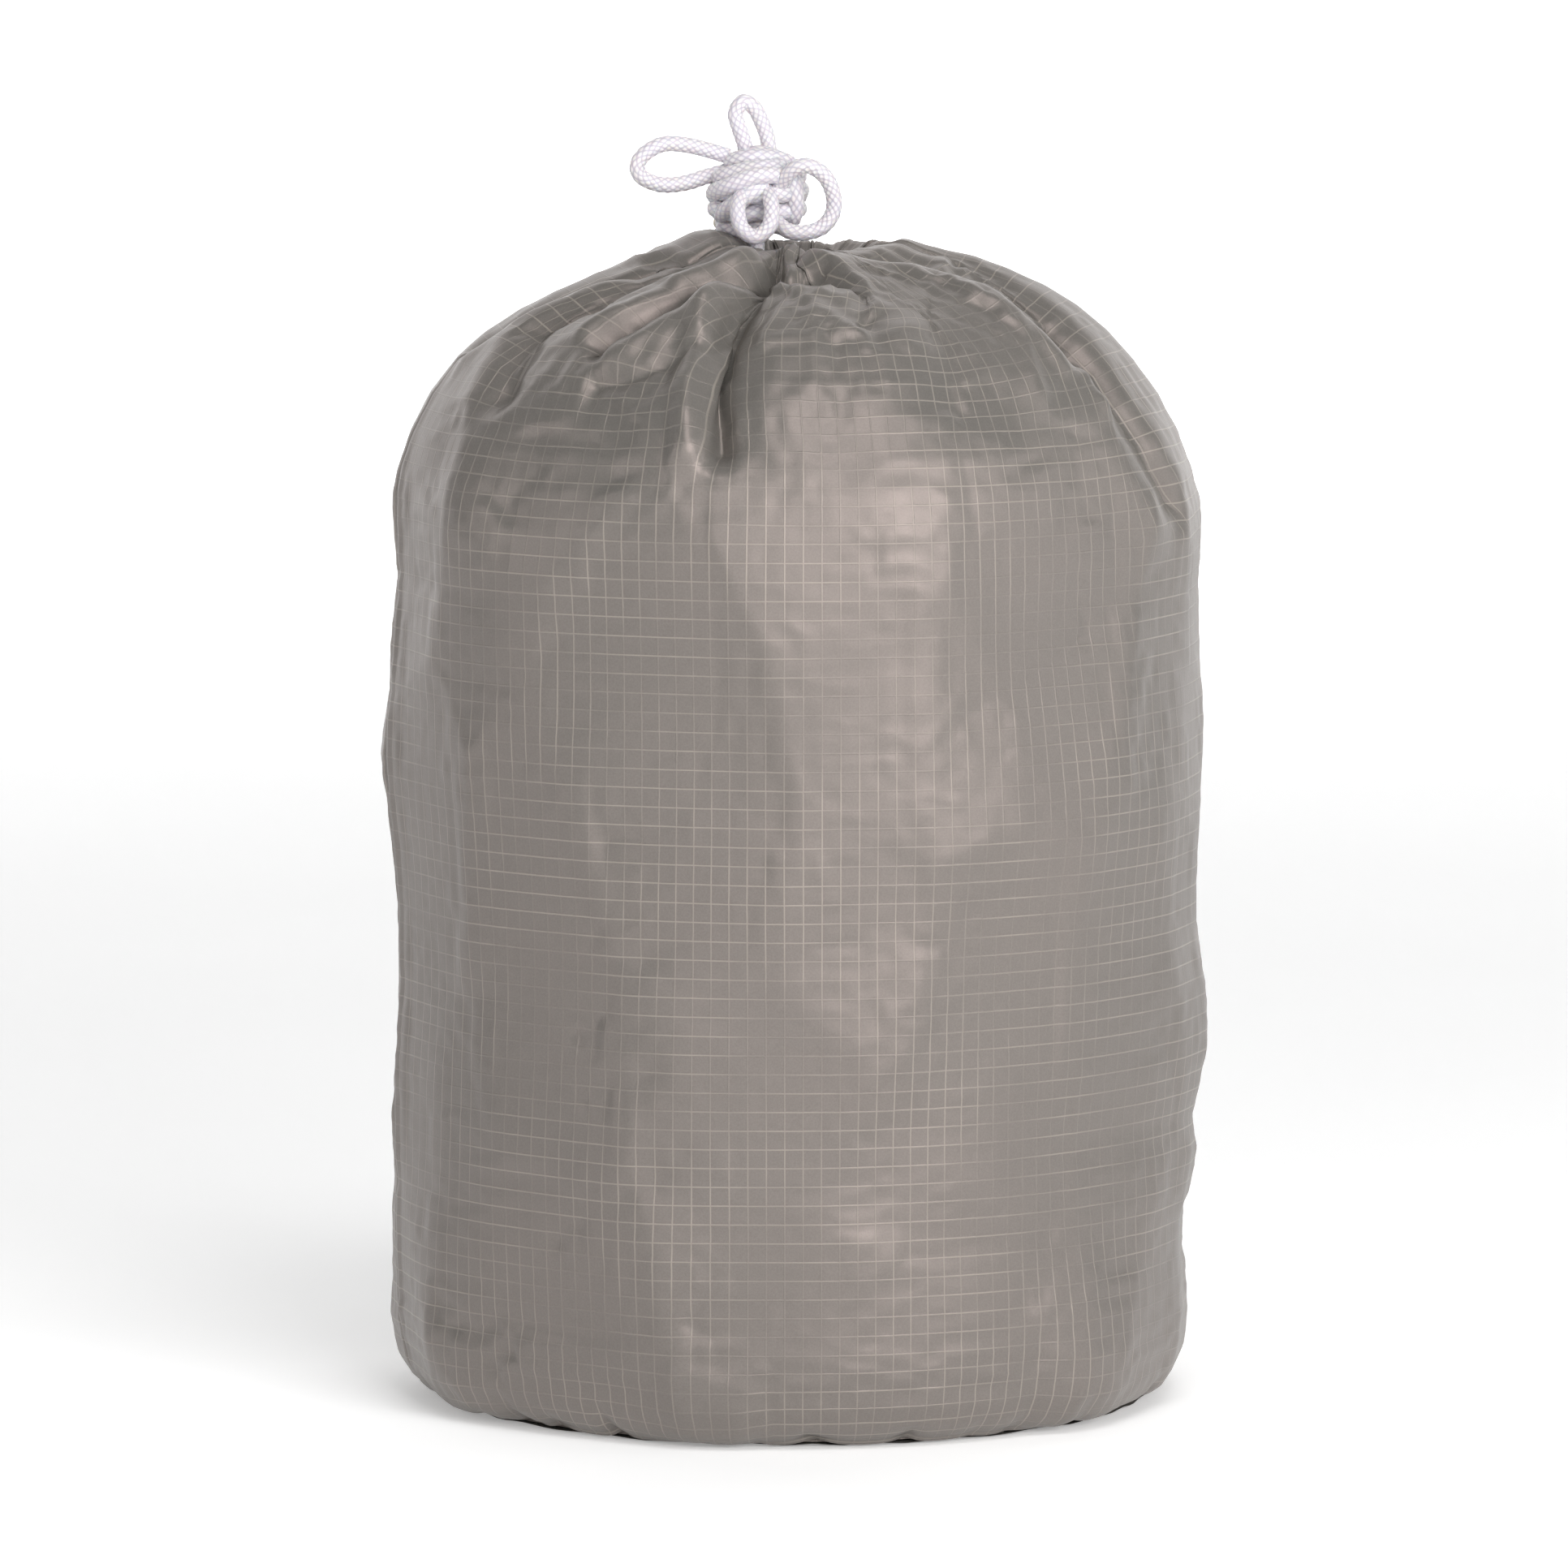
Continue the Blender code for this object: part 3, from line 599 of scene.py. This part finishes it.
def makeCloth():
    cloth = Cloth()
    r = onOutline(cloth.down)[0]
    z = cloth.base[..., 2]
    a = np.radians(cloth.angle)
    left = np.interp(z, *np.array(sack["leftSide"], float).T)
    right = np.interp(z, *np.array(sack["rightSide"], float).T)
    side = np.sin(a)
    cloth.lift += left * np.clip(-side, 0, 1) ** 3 + right * np.clip(side, 0, 1) ** 3
    for path, depth, wideLeft, wideRight, lean, *lips in folds:
        # the folds at the back open out and die away down the side
        if path[0][0] > 80:
            cloth.crease(path, depth, wideLeft, wideRight, 1.3, (0.22, 0.75), lean, lips, spread=2.4)
        else:
            cloth.crease(path, depth, wideLeft, wideRight, 1.6, (0.32, 0.10), lean, lips)
    for path, depth, wideLeft, wideRight in topCreases:
        cloth.crease(path, depth, wideLeft, wideRight, 1.4, (0.12, 0.15))
    for path, depth, wideLeft, wideRight in bodyCreases:
        cloth.crease(path, 1.2 * depth, wideLeft, wideRight, 1.0)
    random = np.random.default_rng(4)
    for i in range(22):
        # smaller gathers between the folds at the back
        angle = 84 + 192 * (i + random.uniform(0.2, 0.8)) / 22
        sway, reach = random.uniform(-5, 5), random.uniform(45, 105)
        path = [(angle, 10), (angle + sway, 0.5 * reach), (angle + 0.6 * sway, reach)]
        cloth.crease(path, random.uniform(1.2, 3.6), random.uniform(1.8, 3.4), random.uniform(1.8, 3.4),
                     1.3, (0.2, 0.8), spread=2.0)
    for i in range(30):
        angle, down = random.uniform(85, 275), random.uniform(140, 340)
        turn, size = random.uniform(0.3, 2.9), random.uniform(45, 110)
        across, along = size / 2 * math.cos(turn) * 0.52, size / 2 * math.sin(turn)
        path = [(angle + t * across, down + t * along + 7 * t * t) for t in (-1, -0.4, 0.3, 1)]
        cloth.crease(path, random.uniform(0.9, 2.0), random.uniform(12, 26), random.uniform(8, 22), 1.1,
                     (0.45, 0.45))
    for i in range(34):
        angle = sack["seamAt"] + 360 * (i + random.uniform(-0.35, 0.35)) / 34
        reach = random.uniform(8, 22)
        path = [(angle, outlineLength[-1] + 1), (angle + random.uniform(-3, 3), outlineLength[-1] - reach)]
        cloth.crease(path, random.uniform(0.5, 2.0), random.uniform(2, 5), random.uniform(2, 5), 1.4,
                     (0, 0.8))
    points = cloth.base
    body = smoothStep(60, 140, cloth.down) * smoothStep(0, 25, outlineLength[-1] - cloth.down)
    flatness = facing(cloth)
    flatness -= flatness[cloth.down > 140].mean()
    cloth.lift += 0.9 * flatness * smoothStep(85, 135, cloth.down) * body ** 0.3
    cloth.lift += body * (0.5 * wrinkles(points, 46, 1) + 0.35 * wrinkles(points, 21, 2))
    cloth.lift += 0.22 * body * (wrinkles(points * (1, 1, 1.5), 11, 3, True) - 0.6)
    # small gathers at the mouth: round ridges with narrow clefts between them, each with its own reach
    flat = np.radians(cloth.flat)[None, :] + 0 * cloth.down
    for count, phase, depth, reach in ((31, 0.4, 1.5, 62), (46, 2.0, 0.9, 40), (67, 4.1, 0.6, 24)):
        uneven = flat + 0.05 * np.sin(5 * flat + phase) + 0.03 * np.sin(11 * flat + 2 * phase)
        own = 0.55 + 0.45 * np.sin(7 * flat + 3 * phase)
        cleft = 1 - np.abs(np.sin(0.5 * count * uneven + phase + 0.012 * cloth.down))
        fade = smoothStep(reach, 0.35 * reach, cloth.down) * smoothStep(1, 9, cloth.down)
        cloth.lift -= depth * own * cleft ** 2 * fade
    seam = np.abs((cloth.angle - cloth.angle[:, :1] + 180) % 360 - 180) * r * math.pi / 180
    cloth.lift -= 0.7 * np.exp(-(seam / 0.9) ** 2) - 0.35 * np.exp(-((seam - 2.4) / 1.6) ** 2)
    made = cloth.points()
    made[..., 2] = np.maximum(made[..., 2], 0.2)
    return cloth, made * mm


def gridObject(name, points, flat, material):
    rows, columns = points.shape[:2]
    i, j = np.meshgrid(np.arange(rows - 1), np.arange(columns), indexing="ij")
    k = (j + 1) % columns
    faces = np.stack([i * columns + j, (i + 1) * columns + j, (i + 1) * columns + k, i * columns + k],
                     axis=-1)
    data = bpy.data.meshes.new(name)
    data.from_pydata(points.reshape(-1, 3).tolist(), [], faces.reshape(-1, 4).tolist())
    wide, long = flat
    u = np.stack([j, j, j + 1, j + 1], axis=-1) / columns * wide
    v = np.stack([i, i + 1, i + 1, i], axis=-1) / (rows - 1) * long
    layer = data.uv_layers.new(name="flatCloth")
    layer.data.foreach_set("uv", np.stack([u, v], axis=-1).astype(np.float32).ravel())
    data.shade_smooth()
    data.materials.append(material)
    return linked(name, data)


ripstop = {
    "cell": 5.0 * mm,
    "thread": 0.36 * mm,
    "weave": 0.30 * mm,      # the real weave is near 0.1 mm, drawn coarser so that it doesn't shimmer
    "paler": "#696561",
    "darker": "#5A5A56",
    # painted sheen: the paler colour that the grid threads are painted
    "line": "#918B82",
    "glint": "#FFE8E1",
    "roughness": 0.39,
}


def ripstopNylonWoven():
    # woven nylon with thicker threads every 5 mm: they stand up in the bump as a fine grid, and are painted
    # paler as a painted sheen
    made = newMaterial("nylon ripstop woven grey")
    uv = node(made, "ShaderNodeUVMap", {"uv_map": "flatCloth"})
    split = node(made, "ShaderNodeSeparateXYZ", inputs={0: uv.outputs[0]})
    place = node(made, "ShaderNodeTexCoord")
    lines, paintedGridSheen = [], []
    width = ripstop["thread"] / ripstop["cell"] / 2
    for axis in (0, 1):
        cells = node(made, "ShaderNodeMath", {"operation": "DIVIDE"},
                     {0: split.outputs[axis], 1: ripstop["cell"]})
        away = node(made, "ShaderNodeMath", {"operation": "PINGPONG"}, {0: cells.outputs[0], 1: 0.5})
        lines.append(node(made, "ShaderNodeMapRange", {"interpolation_type": "SMOOTHSTEP"},
                          {0: away.outputs[0], 1: 0.6 * width, 2: 1.5 * width, 3: 1.0, 4: 0.0}))
        # painted sheen: the two sets of threads are painted pale in different random places, standing in for
        # how each set reflects light
        gridSheenPatches = node(made, "ShaderNodeTexNoise", {"noise_dimensions": "4D"},
                     {"Vector": place.outputs["Object"], "W": 3.0 + 5.0 * axis, "Scale": 24.0, "Detail": 1.0})
        paler = node(made, "ShaderNodeMapRange",
                     inputs={0: gridSheenPatches.outputs[0], 1: 0.4, 2: 0.6, 3: 0.10, 4: 0.6})
        paintedGridSheen.append(node(made, "ShaderNodeMath", {"operation": "MULTIPLY"},
                          {0: lines[axis].outputs[0], 1: paler.outputs[0]}))
    grid = node(made, "ShaderNodeMath", {"operation": "MAXIMUM"},
                {0: lines[0].outputs[0], 1: lines[1].outputs[0]})
    paintedGridSheen = node(made, "ShaderNodeMath", {"operation": "MAXIMUM"},
                 {0: paintedGridSheen[0].outputs[0], 1: paintedGridSheen[1].outputs[0]})
    cloud = node(made, "ShaderNodeTexNoise",
                 inputs={"Vector": place.outputs["Object"], "Scale": 14.0, "Detail": 3.0})
    spread = node(made, "ShaderNodeMapRange", inputs={0: cloud.outputs[0], 1: 0.3, 2: 0.7, 3: 0.35, 4: 0.65})
    base = node(made, "ShaderNodeMix", {"data_type": "RGBA"},
                {0: spread.outputs[0], 6: linear(ripstop["darker"]), 7: linear(ripstop["paler"])})
    grain = node(made, "ShaderNodeTexNoise",
                 inputs={"Vector": place.outputs["Object"], "Scale": 2200.0, "Detail": 1.0})
    dark = node(made, "ShaderNodeMapRange", inputs={0: grain.outputs[0], 1: 0.3, 2: 0.7, 3: 0.90, 4: 1.08})
    speckled = node(made, "ShaderNodeVectorMath", {"operation": "SCALE"},
                    {0: base.outputs[2], 3: dark.outputs[0]})
    # painted sheen: the grid threads are painted the paler line colour
    colour = node(made, "ShaderNodeMix", {"data_type": "RGBA"},
                  {0: paintedGridSheen.outputs[0], 6: speckled.outputs[0], 7: linear(ripstop["line"])})
    weave = []
    for axis in (0, 1):
        turns = node(made, "ShaderNodeMath", {"operation": "MULTIPLY"},
                     {0: split.outputs[axis], 1: math.tau / ripstop["weave"]})
        weave.append(node(made, "ShaderNodeMath", {"operation": "SINE"}, {0: turns.outputs[0]}))
    crossing = node(made, "ShaderNodeMath", {"operation": "MULTIPLY"},
                    {0: weave[0].outputs[0], 1: weave[1].outputs[0]})
    first = node(made, "ShaderNodeBump",
                 inputs={"Height": crossing.outputs[0], "Strength": 0.10, "Distance": 0.05 * mm})
    second = node(made, "ShaderNodeBump", inputs={
        "Height": grid.outputs[0], "Strength": 0.5, "Distance": 0.10 * mm, "Normal": first.outputs[0]})
    shader = node(made, "ShaderNodeBsdfPrincipled", inputs={
        "Base Color": colour.outputs[2], "Roughness": ripstop["roughness"], "IOR": 1.53,
        "Normal": second.outputs[0], "Specular IOR Level": 1.0, "Specular Tint": linear(ripstop["glint"])})
    node(made, "ShaderNodeOutputMaterial", inputs={0: shader.outputs[0]})
    return made


ripstopGrey = ripstopNylonWoven()

simulated = {
    "every": 3,              # the cloth that is simulated keeps one in this many rows and columns
    "slack": 1.014,          # cut this much larger than the load it is pulled over
    "frames": 16,
    "loadInset": 1.4 * mm,
    "most": 4.5 * mm,        # furthest that any point may move
}


def settle(cloth, points):
    # The sack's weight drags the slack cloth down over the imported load, which buckles it into small wrinkles
    step = simulated["every"]
    rows, columns = np.arange(0, points.shape[0], step), np.arange(0, points.shape[1] - 1, step)
    coarse = points[np.ix_(rows, columns)]
    count = coarse.shape[0] * coarse.shape[1]
    made = gridObject("settling_cloth", coarse, (0.69, 0.39), ripstopGrey)
    held = made.vertex_groups.new(name="held")
    length = cloth.length[rows]
    grip = np.maximum(smoothStep(40, 8, length), smoothStep(16, 3, outlineLength[-1] - length))
    for i, weight in enumerate(grip):
        if weight > 0.01:
            held.add(list(range(i * len(columns), (i + 1) * len(columns))), float(weight), "REPLACE")
    made.shape_key_add(name="packed")
    cut = made.shape_key_add(name="cut")
    scale = np.array([simulated["slack"], simulated["slack"], 1.006])
    cut.data.foreach_set("co", (coarse * scale).astype(np.float32).ravel())
    inner = points - cloth.normal * simulated["loadInset"]
    load = gridObject("load", inner[np.ix_(rows, columns)], (0.69, 0.39), ripstopGrey)
    load.modifiers.new("collision", "COLLISION")
    load.collision.thickness_outer = 0.4 * mm
    load.collision.cloth_friction = 12
    modifier = made.modifiers.new("cloth", "CLOTH")
    settings = modifier.settings
    settings.quality = 6
    settings.mass = 0.0004
    settings.tension_stiffness = settings.compression_stiffness = 12
    settings.shear_stiffness = 4
    settings.bending_stiffness = 0.02
    settings.air_damping = 2
    settings.vertex_group_mass = "held"
    settings.pin_stiffness = 5
    settings.rest_shape_key = cut
    modifier.collision_settings.distance_min = 0.4 * mm
    modifier.collision_settings.use_self_collision = False
    modifier.point_cache.frame_start = 1
    modifier.point_cache.frame_end = simulated["frames"]
    scene = bpy.context.scene
    for number in range(1, simulated["frames"] + 1):
        scene.frame_set(number)
    settled = made.evaluated_get(bpy.context.evaluated_depsgraph_get()).to_mesh()
    found = np.empty(count * 3, np.float32)
    settled.vertices.foreach_get("co", found)
    moved = found.reshape(coarse.shape).astype(float) - coarse
    size = np.linalg.norm(moved, axis=-1, keepdims=True)
    moved *= np.minimum(1, simulated["most"] / np.maximum(size, 1e-9))
    print("cloth settled, points moved mm: middle", round(float(np.median(size)) / mm, 2),
          "most", round(float(size.max()) / mm, 2))
    for obj in (made, load):
        bpy.data.objects.remove(obj)
    scene.frame_set(1)
    # back onto the fine grid
    fullRows, fullColumns = np.arange(points.shape[0]), np.arange(points.shape[1])
    wrapped = np.concatenate([moved, moved[:, :1]], axis=1)
    stops = np.append(columns, points.shape[1])
    across = np.stack([[np.interp(fullColumns, stops, row[:, k]) for row in wrapped]
                       for k in range(3)], axis=-1)
    down = np.stack([[np.interp(fullRows, rows, across[:, j, k]) for j in fullColumns]
                     for k in range(3)], axis=-1)
    return points + down.transpose(1, 0, 2)


def ribbonObject(name, points, material, body, standsFor, closed=False):
    # points: rows of points across the ribbon
    rows = points.shape[0]
    columns = points.shape[1]
    faces = []
    for i in range(rows if closed else rows - 1):
        here, after = i * columns, (i + 1) % rows * columns
        faces += [(here + j, after + j, after + j + 1, here + j + 1) for j in range(columns - 1)]
    data = bpy.data.meshes.new(name)
    data.from_pydata(points.reshape(-1, 3).tolist(), [], faces)
    along = np.linalg.norm(np.diff(points[:, 0], axis=0), axis=1).mean()
    across = np.linalg.norm(np.diff(points[0], axis=0), axis=1).mean()
    uvs = [(across * (f[k] % columns), along * ((f[0] // columns) + (k in (1, 2))))
           for f in faces for k in range(4)]
    layer = data.uv_layers.new(name="flatCloth")
    layer.data.foreach_set("uv", np.array(uvs, np.float32).ravel())
    data.shade_smooth()
    data.materials.append(material)
    made = linked(name, data)
    fit(made, body, standsFor)
    return made


def polyesterThread():
    # fine twisted polyester thread, a little darker than the cloth, each turn of the twist just visible, with
    # painted shade darkening the colour in the twist's grooves
    made = newMaterial("polyester sewing thread twisted")
    place = node(made, "ShaderNodeTexCoord")
    twist = node(made, "ShaderNodeTexWave", {"bands_direction": "DIAGONAL"},
                 {"Vector": place.outputs["Object"], "Scale": 900.0, "Distortion": 1.5})
    # painted shade: darker where the twist's bands dip, by the same height that drives the bump
    tone = node(made, "ShaderNodeMix", {"data_type": "RGBA"},
                {0: twist.outputs[1], 6: linear("#6B6660"), 7: linear("#8E8881")})
    bump = node(made, "ShaderNodeBump",
                inputs={"Height": twist.outputs[1], "Strength": 0.4, "Distance": 0.08 * mm})
    shader = node(made, "ShaderNodeBsdfPrincipled", inputs={
        "Base Color": tone.outputs[2], "Roughness": 0.55, "IOR": 1.55, "Normal": bump.outputs[0],
        "Sheen Weight": 0.3})
    node(made, "ShaderNodeOutputMaterial", inputs={0: shader.outputs[0]})
    return made


def meltedNylon():
    # the cord's end melted to a hard glassy bead, cream at the middle and a little scorched at its rim
    made = newMaterial("nylon melted glossy")
    place = node(made, "ShaderNodeTexCoord")
    spots = node(made, "ShaderNodeTexNoise",
                 inputs={"Vector": place.outputs["Object"], "Scale": 700.0, "Detail": 3.0})
    tone = node(made, "ShaderNodeMix", {"data_type": "RGBA"},
                {0: spots.outputs[0], 6: linear("#B9A78C"), 7: linear("#EFE9DE")})
    rough = node(made, "ShaderNodeMapRange", inputs={0: spots.outputs[0], 3: 0.15, 4: 0.4})
    bump = node(made, "ShaderNodeBump",
                inputs={"Height": spots.outputs[0], "Strength": 0.5, "Distance": 0.3 * mm})
    shader = node(made, "ShaderNodeBsdfPrincipled", inputs={
        "Base Color": tone.outputs[2], "Roughness": rough.outputs[0], "IOR": 1.53, "Normal": bump.outputs[0]})
    node(made, "ShaderNodeOutputMaterial", inputs={0: shader.outputs[0]})
    return made


threadGrey = polyesterThread()
seams = {
    "allowance": 8.0 * mm,
    "stitch": 2.6 * mm,
    "thread": 0.32 * mm,
    "baseRadius": 94.4 * mm,
}


def threadTube(name, line, standsFor, closed=False):
    # one row of lock stitches: the thread dips through the cloth between stitches
    made = tube([tuple(p) for p in line], radius=seams["thread"], step=1.3 * mm, closed=closed,
                around=8, relief=0)
    fit(cordMesh(name, [made], threadGrey), "sack", standsFor)


def makeInside(cloth, points):
    inward = -cloth.normal * mm
    # side seam: the two sewn edges, turned to one side and lying on the inside of the cloth
    rows = [i for i in range(0, len(cloth.length), 3) if 75 < cloth.length[i] < outlineLength[-1] - 24]
    ribbon = np.array([[points[i, j] + inward[i, j] * (0.9 + 0.25 * math.sin(0.9 * i)) for j in
                        (-3, -1, 0, 2, 4)] for i in rows])
    ribbonObject("side_seam_edges", ribbon, ripstopGrey, "sack", "side_seam_allowance")
    line = [points[i, 0] + inward[i, 0] * (1.7 + 0.3 * (n % 2)) for n, i in enumerate(rows)]
    threadTube("side_seam_stitches", line, "side_seam_thread")
    # base seam: both edges stand up inside, a little wavy
    turns = np.linspace(0, math.tau, 240, endpoint=False)
    ring = []
    for a in turns:
        wave = 0.5 * math.sin(23 * a) + 0.4 * math.sin(37 * a + 1)
        ring.append([((seams["baseRadius"] + k * wave * 0.3 * mm) * math.cos(a),
                      (seams["baseRadius"] + k * wave * 0.3 * mm) * math.sin(a),
                      1.2 * mm + seams["allowance"] * k / 4) for k in range(5)])
    ribbonObject("base_seam_edges", np.array(ring), ripstopGrey, "sack", "base_seam_allowance",
                 closed=True)
    reach = seams["baseRadius"] - 1.0 * mm
    line = [(reach * math.cos(a), reach * math.sin(a), (5.0 + 0.25 * (-1) ** n) * mm)
            for n, a in enumerate(turns)]
    threadTube("base_seam_stitches", line, "base_seam_thread", closed=True)


def makeBase():
    rings, columns = 48, 144
    radius = 96.0 * mm
    share = np.linspace(0.004, 1, rings)[:, None]
    turn = math.tau * np.arange(columns)[None, :] / columns
    x, y = radius * share * np.sin(turn), -radius * share * np.cos(turn)
    flat = np.stack([x, y, 0 * x], axis=-1)
    height = 0.65 * mm + 0.18 * mm * wrinkles(flat, 24 * mm, 6) + 0.12 * mm * wrinkles(flat, 9 * mm, 7)
    height += 0.25 * mm * np.sin(29 * turn + 2 * np.sin(5 * turn)) * share ** 14
    flat[..., 2] = height
    faces = [(i * columns + j, i * columns + (j + 1) % columns, (i + 1) * columns + (j + 1) % columns,
              (i + 1) * columns + j) for i in range(rings - 1) for j in range(columns)]
    faces.append(tuple(range(columns))[::-1])
    data = bpy.data.meshes.new("ripstop_base")
    points = flat.reshape(-1, 3)
    data.from_pydata(points.tolist(), [], faces)
    layer = data.uv_layers.new(name="flatCloth")
    layer.data.foreach_set("uv", np.array([points[i, :2] + 0.2 for f in faces for i in f],
                                          np.float32).ravel())
    data.shade_smooth()
    data.materials.append(ripstopGrey)
    piece = linked("ripstop_base", data)
    fit(piece, "sack", "base_panel")


mouth = {
    "radius": 11.2 * mm,
    "height": 306.5 * mm,
    "outer": 4.4 * mm,
    "gathers": 34,
    "gatherDepth": 0.9 * mm,
}


def makeMouth():
    # the hem round the cord, gathered tight: round ridges with narrow clefts between them
    columns, around = 408, 28
    gaps = math.asin(5.0 / 11.2)
    turn = -math.pi / 2 + gaps + (math.tau - 2 * gaps) * np.arange(columns)[:, None] / (columns - 1)
    ring = math.tau * np.arange(around + 1)[None, :] / around
    uneven = turn + 0.05 * np.sin(5 * turn) + 0.02 * np.sin(ring)
    cleft = 1 - np.abs(np.sin(0.5 * mouth["gathers"] * uneven))
    reach = mouth["outer"] - mouth["gatherDepth"] * cleft ** 2
    out = mouth["radius"] + reach * np.cos(ring)
    points = np.stack([out * np.sin(turn), -out * np.cos(turn), mouth["height"] + reach * np.sin(ring)],
                      axis=-1)
    hem = ribbonObject("gathered_hem", points, ripstopGrey, "sack", "cord_channel")
    line = [((mouth["radius"] - 0.2 * mm) * math.sin(a), -(mouth["radius"] - 0.2 * mm) * math.cos(a),
             mouth["height"] - mouth["outer"] - (0.5 + 0.25 * (-1) ** n) * mm)
            for n, a in enumerate(np.linspace(0, math.tau, 60, endpoint=False))]
    threadTube("hem_stitches", line, "channel_thread", closed=True)
    clear = math.asin(5.9 / 11.2)
    line = [(mouth["radius"] * math.sin(a), -mouth["radius"] * math.cos(a), mouth["height"])
            for a in np.linspace(-math.pi / 2 + clear, 1.5 * math.pi - clear, 40)]
    inner = cordMesh("braided_cord_in_hem", [tube(line, seed=31)], cordWhite)
    fit(inner, "sack", "drawcord_in_channel")
    # buttonhole: close satin stitches round the slot the cord leaves by
    stitches = []
    for i in range(64):
        a = math.tau * i / 64
        x, y = 3.55 * math.cos(a), 3.55 * math.sin(a) + math.copysign(2.8, math.sin(a))
        swing = 0.42 * (-1) ** i
        stitches.append((-mouth["radius"] + (x + swing * math.cos(a)) * mm, (y + swing * math.sin(a)) * mm,
                         mouth["height"] + mouth["outer"] + 0.75 * mm))
    threadTube("buttonhole_stitches", stitches, "buttonhole_stitching", closed=True)
    return hem


def makeTips():
    bead = meltedNylon()
    for side in ("left", "right"):
        route = routes[side + "_tail"]
        end, before = knotCentre + Vector(route[-1]), knotCentre + Vector(route[-2])
        along = (end - before).normalized()
        bpy.ops.mesh.primitive_uv_sphere_add(segments=32, ring_count=20, radius=2.1 * mm)
        piece = bpy.context.object
        piece.name = side + "_melted_tip"
        for vertex in piece.data.vertices:
            vertex.co.z *= 0.75
            vertex.co += vertex.normal * 0.15 * mm * math.sin(900 * vertex.co.x + 500 * vertex.co.y)
        piece.location = end + along * 1.3 * mm
        piece.rotation_euler = along.to_track_quat("Z", "Y").to_euler()
        piece.data.shade_smooth()
        piece.data.materials.append(bead)
        fit(piece, "tail_" + side, side + "_cord_tip")


def makeBody():
    cloth, points = makeCloth()
    points = settle(cloth, points)
    points[..., 2] = np.maximum(points[..., 2], 0.2 * mm)
    wide = math.tau * sack["flatRadius"]
    long = outlineLength[-1] * mm
    piece = gridObject("ripstop_body", points, (wide, long), ripstopGrey)
    fit(piece, "sack", "body_panel")
    return piece, cloth, points


bodyPiece, bodyCloth, bodyPoints = makeBody()
print("body cloth made")
makeInside(bodyCloth, bodyPoints)
makeBase()
hemPiece = makeMouth()
makeTips()
print("seams, base, hem and tips made")


# ---- floor and light
studio = {
    "world": 0.13,
    "floorGlow": (0.24, 0.6),       # beside the sack and far from it
    "backdropGlow": (1.0, 1.0),
    # name: place, target, width and height in metres, watts
    "softboxes": {
        "key": ((1.10, -1.9, 0.78), (0, 0, 0.16), (1.8, 0.8), 39),
        "front": ((-0.75, -2.2, 0.72), (0, 0, 0.16), (0.9, 0.7), 9),
        "left": ((-2.3, -0.7, 0.80), (0, 0, 0.16), (0.6, 0.9), 6),
        "right": ((2.3, -0.25, 0.70), (0, 0, 0.16), (0.7, 0.8), 5),
        "top": ((0.3, -1.1, 1.8), (0, 0, 0.16), (1.1, 0.8), 14),
    },
}


def paintedWhite(name, glow, farGlow):
    # matt white paint with a faint roller mottle, glowing more away from the sack so that it goes plain white
    made = newMaterial(name)
    place = node(made, "ShaderNodeTexCoord")
    away = node(made, "ShaderNodeVectorMath", {"operation": "LENGTH"}, {0: place.outputs["Object"]})
    lit = node(made, "ShaderNodeMapRange", {"interpolation_type": "SMOOTHSTEP"},
               {0: away.outputs[1], 1: 0.6, 2: 3.0, 3: glow, 4: farGlow})
    mottle = node(made, "ShaderNodeTexNoise", inputs={"Vector": place.outputs["Object"], "Scale": 4.0})
    tone = node(made, "ShaderNodeMapRange", inputs={0: mottle.outputs[0], 3: 0.90, 4: 0.94})
    shader = node(made, "ShaderNodeBsdfPrincipled", inputs={
        "Base Color": tone.outputs[0], "Roughness": 0.9, "Specular IOR Level": 0.1,
        "Emission Color": (1, 1, 1, 1), "Emission Strength": lit.outputs[0]})
    node(made, "ShaderNodeOutputMaterial", inputs={0: shader.outputs[0]})
    return made


def plane(name, size, place, turn, material):
    bpy.ops.mesh.primitive_plane_add(size=size, location=place, rotation=turn)
    made = bpy.context.object
    made.name = name
    made.data.materials.append(material)


def softbox(name, place, target, size, power):
    data = bpy.data.lights.new(name, "AREA")
    data.shape = "RECTANGLE"
    data.size, data.size_y = size
    data.energy = power
    lamp = linked(name, data)
    lamp.location = place
    lamp.rotation_euler = (Vector(target) - Vector(place)).to_track_quat("-Z", "Y").to_euler()


def makeStudio():
    plane("floor", 14, (0, 0, 0), (0, 0, 0), paintedWhite("studio floor white", *studio["floorGlow"]))
    plane("backdrop", 14, (0, 5, 3), (math.radians(90), 0, 0),
          paintedWhite("studio backdrop white", *studio["backdropGlow"]))
    world = bpy.data.worlds.new("studio")
    bpy.context.scene.world = world
    world.use_nodes = True
    world.node_tree.nodes["Background"].inputs[0].default_value = (1, 1, 1, 1)
    world.node_tree.nodes["Background"].inputs[1].default_value = studio["world"]
    bpy.context.scene.view_settings.view_transform = "Standard"
    for name, (place, target, size, power) in studio["softboxes"].items():
        softbox(name, place, target, size, power)


makeStudio()
print("studio lit")
